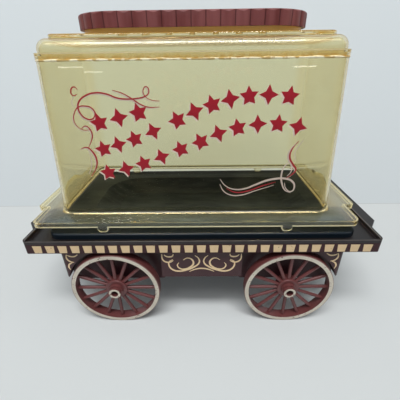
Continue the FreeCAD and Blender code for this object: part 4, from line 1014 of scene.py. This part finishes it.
def build_light(stage):
    """Even room light, a key lamp, two overhead lamps, two at the sides, far strips in front."""
    world = bpy.data.worlds.new("room")
    bpy.context.scene.world = world
    world.use_nodes = True
    tree = world.node_tree
    tree.nodes.clear()
    way = tree.nodes.new("ShaderNodeTexCoord")
    parts = tree.nodes.new("ShaderNodeSeparateXYZ")
    ramp = tree.nodes.new("ShaderNodeMapRange")
    glow = tree.nodes.new("ShaderNodeBackground")
    out = tree.nodes.new("ShaderNodeOutputWorld")
    for k, value in enumerate((0.0, 1.0, stage.horizon, stage.zenith), start=1):
        ramp.inputs[k].default_value = value
    glow.inputs["Color"].default_value = (0.95, 0.98, 1.0, 1)
    for source, target in ((way.outputs["Generated"], parts.inputs[0]),
                           (parts.outputs["Z"], ramp.inputs[0]),
                           (ramp.outputs[0], glow.inputs["Strength"]),
                           (glow.outputs[0], out.inputs["Surface"])):
        tree.links.new(source, target)
    for name, place, size, power in (
        ("key", (-0.10, -1.1, 2.9), (2.2, 0.55), stage.lamp),
        ("overhead", (-0.56, -1.2, 1.83), (1.0, 0.07), stage.lamp * 0.042),
        ("overhead_right", (0.62, -1.2, 1.83), (0.9, 0.07), stage.lamp * 0.012),
        ("left_side", (-1.5, -0.3, 1.3), (0.5, 0.9), stage.lamp * 0.03),
        ("right_side", (1.5, -0.3, 1.3), (0.5, 0.9), stage.lamp * 0.03),
        ("left_strip", (-1.43, -3.06, 0.493), (0.25, 0.012), stage.lamp * 0.0007),
        ("low_strip", (-1.19, -3.06, 0.44), (0.2, 0.010), stage.lamp * 0.0004),
        ("right_strip", (1.11, -3.06, 0.471), (0.25, 0.012), stage.lamp * 0.0007),
    ):
        light = bpy.data.lights.new(name, "AREA")
        light.shape, light.size, light.size_y = "RECTANGLE", *size
        light.energy = power
        lamp = bpy.data.objects.new(name, light)
        bpy.context.scene.collection.objects.link(lamp)
        lamp.location = place
        aim = Vector((0, 0, 0.2)) - Vector(place)
        lamp.rotation_euler = aim.to_track_quat("-Z", "Y").to_euler()


def build_camera():
    """Camera above the front of the wagon, looking down at it from close by."""
    yaw, pitch, roll = 0.013, math.radians(27.83), -0.01382
    ahead = Vector((-math.sin(yaw) * math.cos(pitch), math.cos(yaw) * math.cos(pitch),
                    -math.sin(pitch)))
    right = Vector((math.cos(yaw), math.sin(yaw), 0))
    up = right.cross(ahead)
    turned_right = right * math.cos(roll) + up * math.sin(roll)
    turned_up = up * math.cos(roll) - right * math.sin(roll)
    view = bpy.data.cameras.new("camera")
    view.lens, view.sensor_width = 24.38, 36
    view.clip_start, view.clip_end = 0.01, 50
    camera = bpy.data.objects.new("camera", view)
    bpy.context.scene.collection.objects.link(camera)
    axes = Matrix((turned_right, turned_up, -ahead)).transposed().to_4x4()
    camera.matrix_world = Matrix.Translation((0.00214, -0.31478, 0.28)) @ axes
    bpy.context.scene.camera = camera


class POPCORN_PT_panel(bpy.types.Panel):
    """Lists the steps and their settings"""
    bl_label = "Popcorn maker"
    bl_idname = "POPCORN_PT_panel"
    bl_space_type = "VIEW_3D"
    bl_region_type = "UI"
    bl_category = "Popcorn"

    def draw(self, context):
        for name, kind in GROUPS:
            box = self.layout.box()
            for setting in kind.__annotations__:
                box.prop(getattr(context.scene, name), setting)
        for step in STEPS:
            self.layout.operator(step.bl_idname)


GROUPS = (("popcorn_cover", PopcornCover), ("popcorn_print", PopcornPrint),
          ("popcorn_deck", PopcornDeck), ("popcorn_pan", PopcornPan),
          ("popcorn_wheel", PopcornWheel), ("popcorn_stage", PopcornStage))
STEPS = (POPCORN_OT_stage, POPCORN_OT_wagon, POPCORN_OT_pan, POPCORN_OT_hardware,
         POPCORN_OT_cover, POPCORN_OT_stars, POPCORN_OT_flourishes, POPCORN_OT_scrolls,
         POPCORN_OT_running_gear)


def register():
    for name, kind in GROUPS:
        bpy.utils.register_class(kind)
        setattr(bpy.types.Scene, name, PointerProperty(type=kind))
    for kind in (*STEPS, POPCORN_PT_panel):
        bpy.utils.register_class(kind)


def unregister():
    for kind in (POPCORN_PT_panel, *reversed(STEPS)):
        bpy.utils.unregister_class(kind)
    for name, kind in reversed(GROUPS):
        delattr(bpy.types.Scene, name)
        bpy.utils.unregister_class(kind)


def main():
    register()
    for step in STEPS:
        area, name = step.bl_idname.split(".")
        getattr(getattr(bpy.ops, area), name)()


if __name__ == "__main__":
    main()
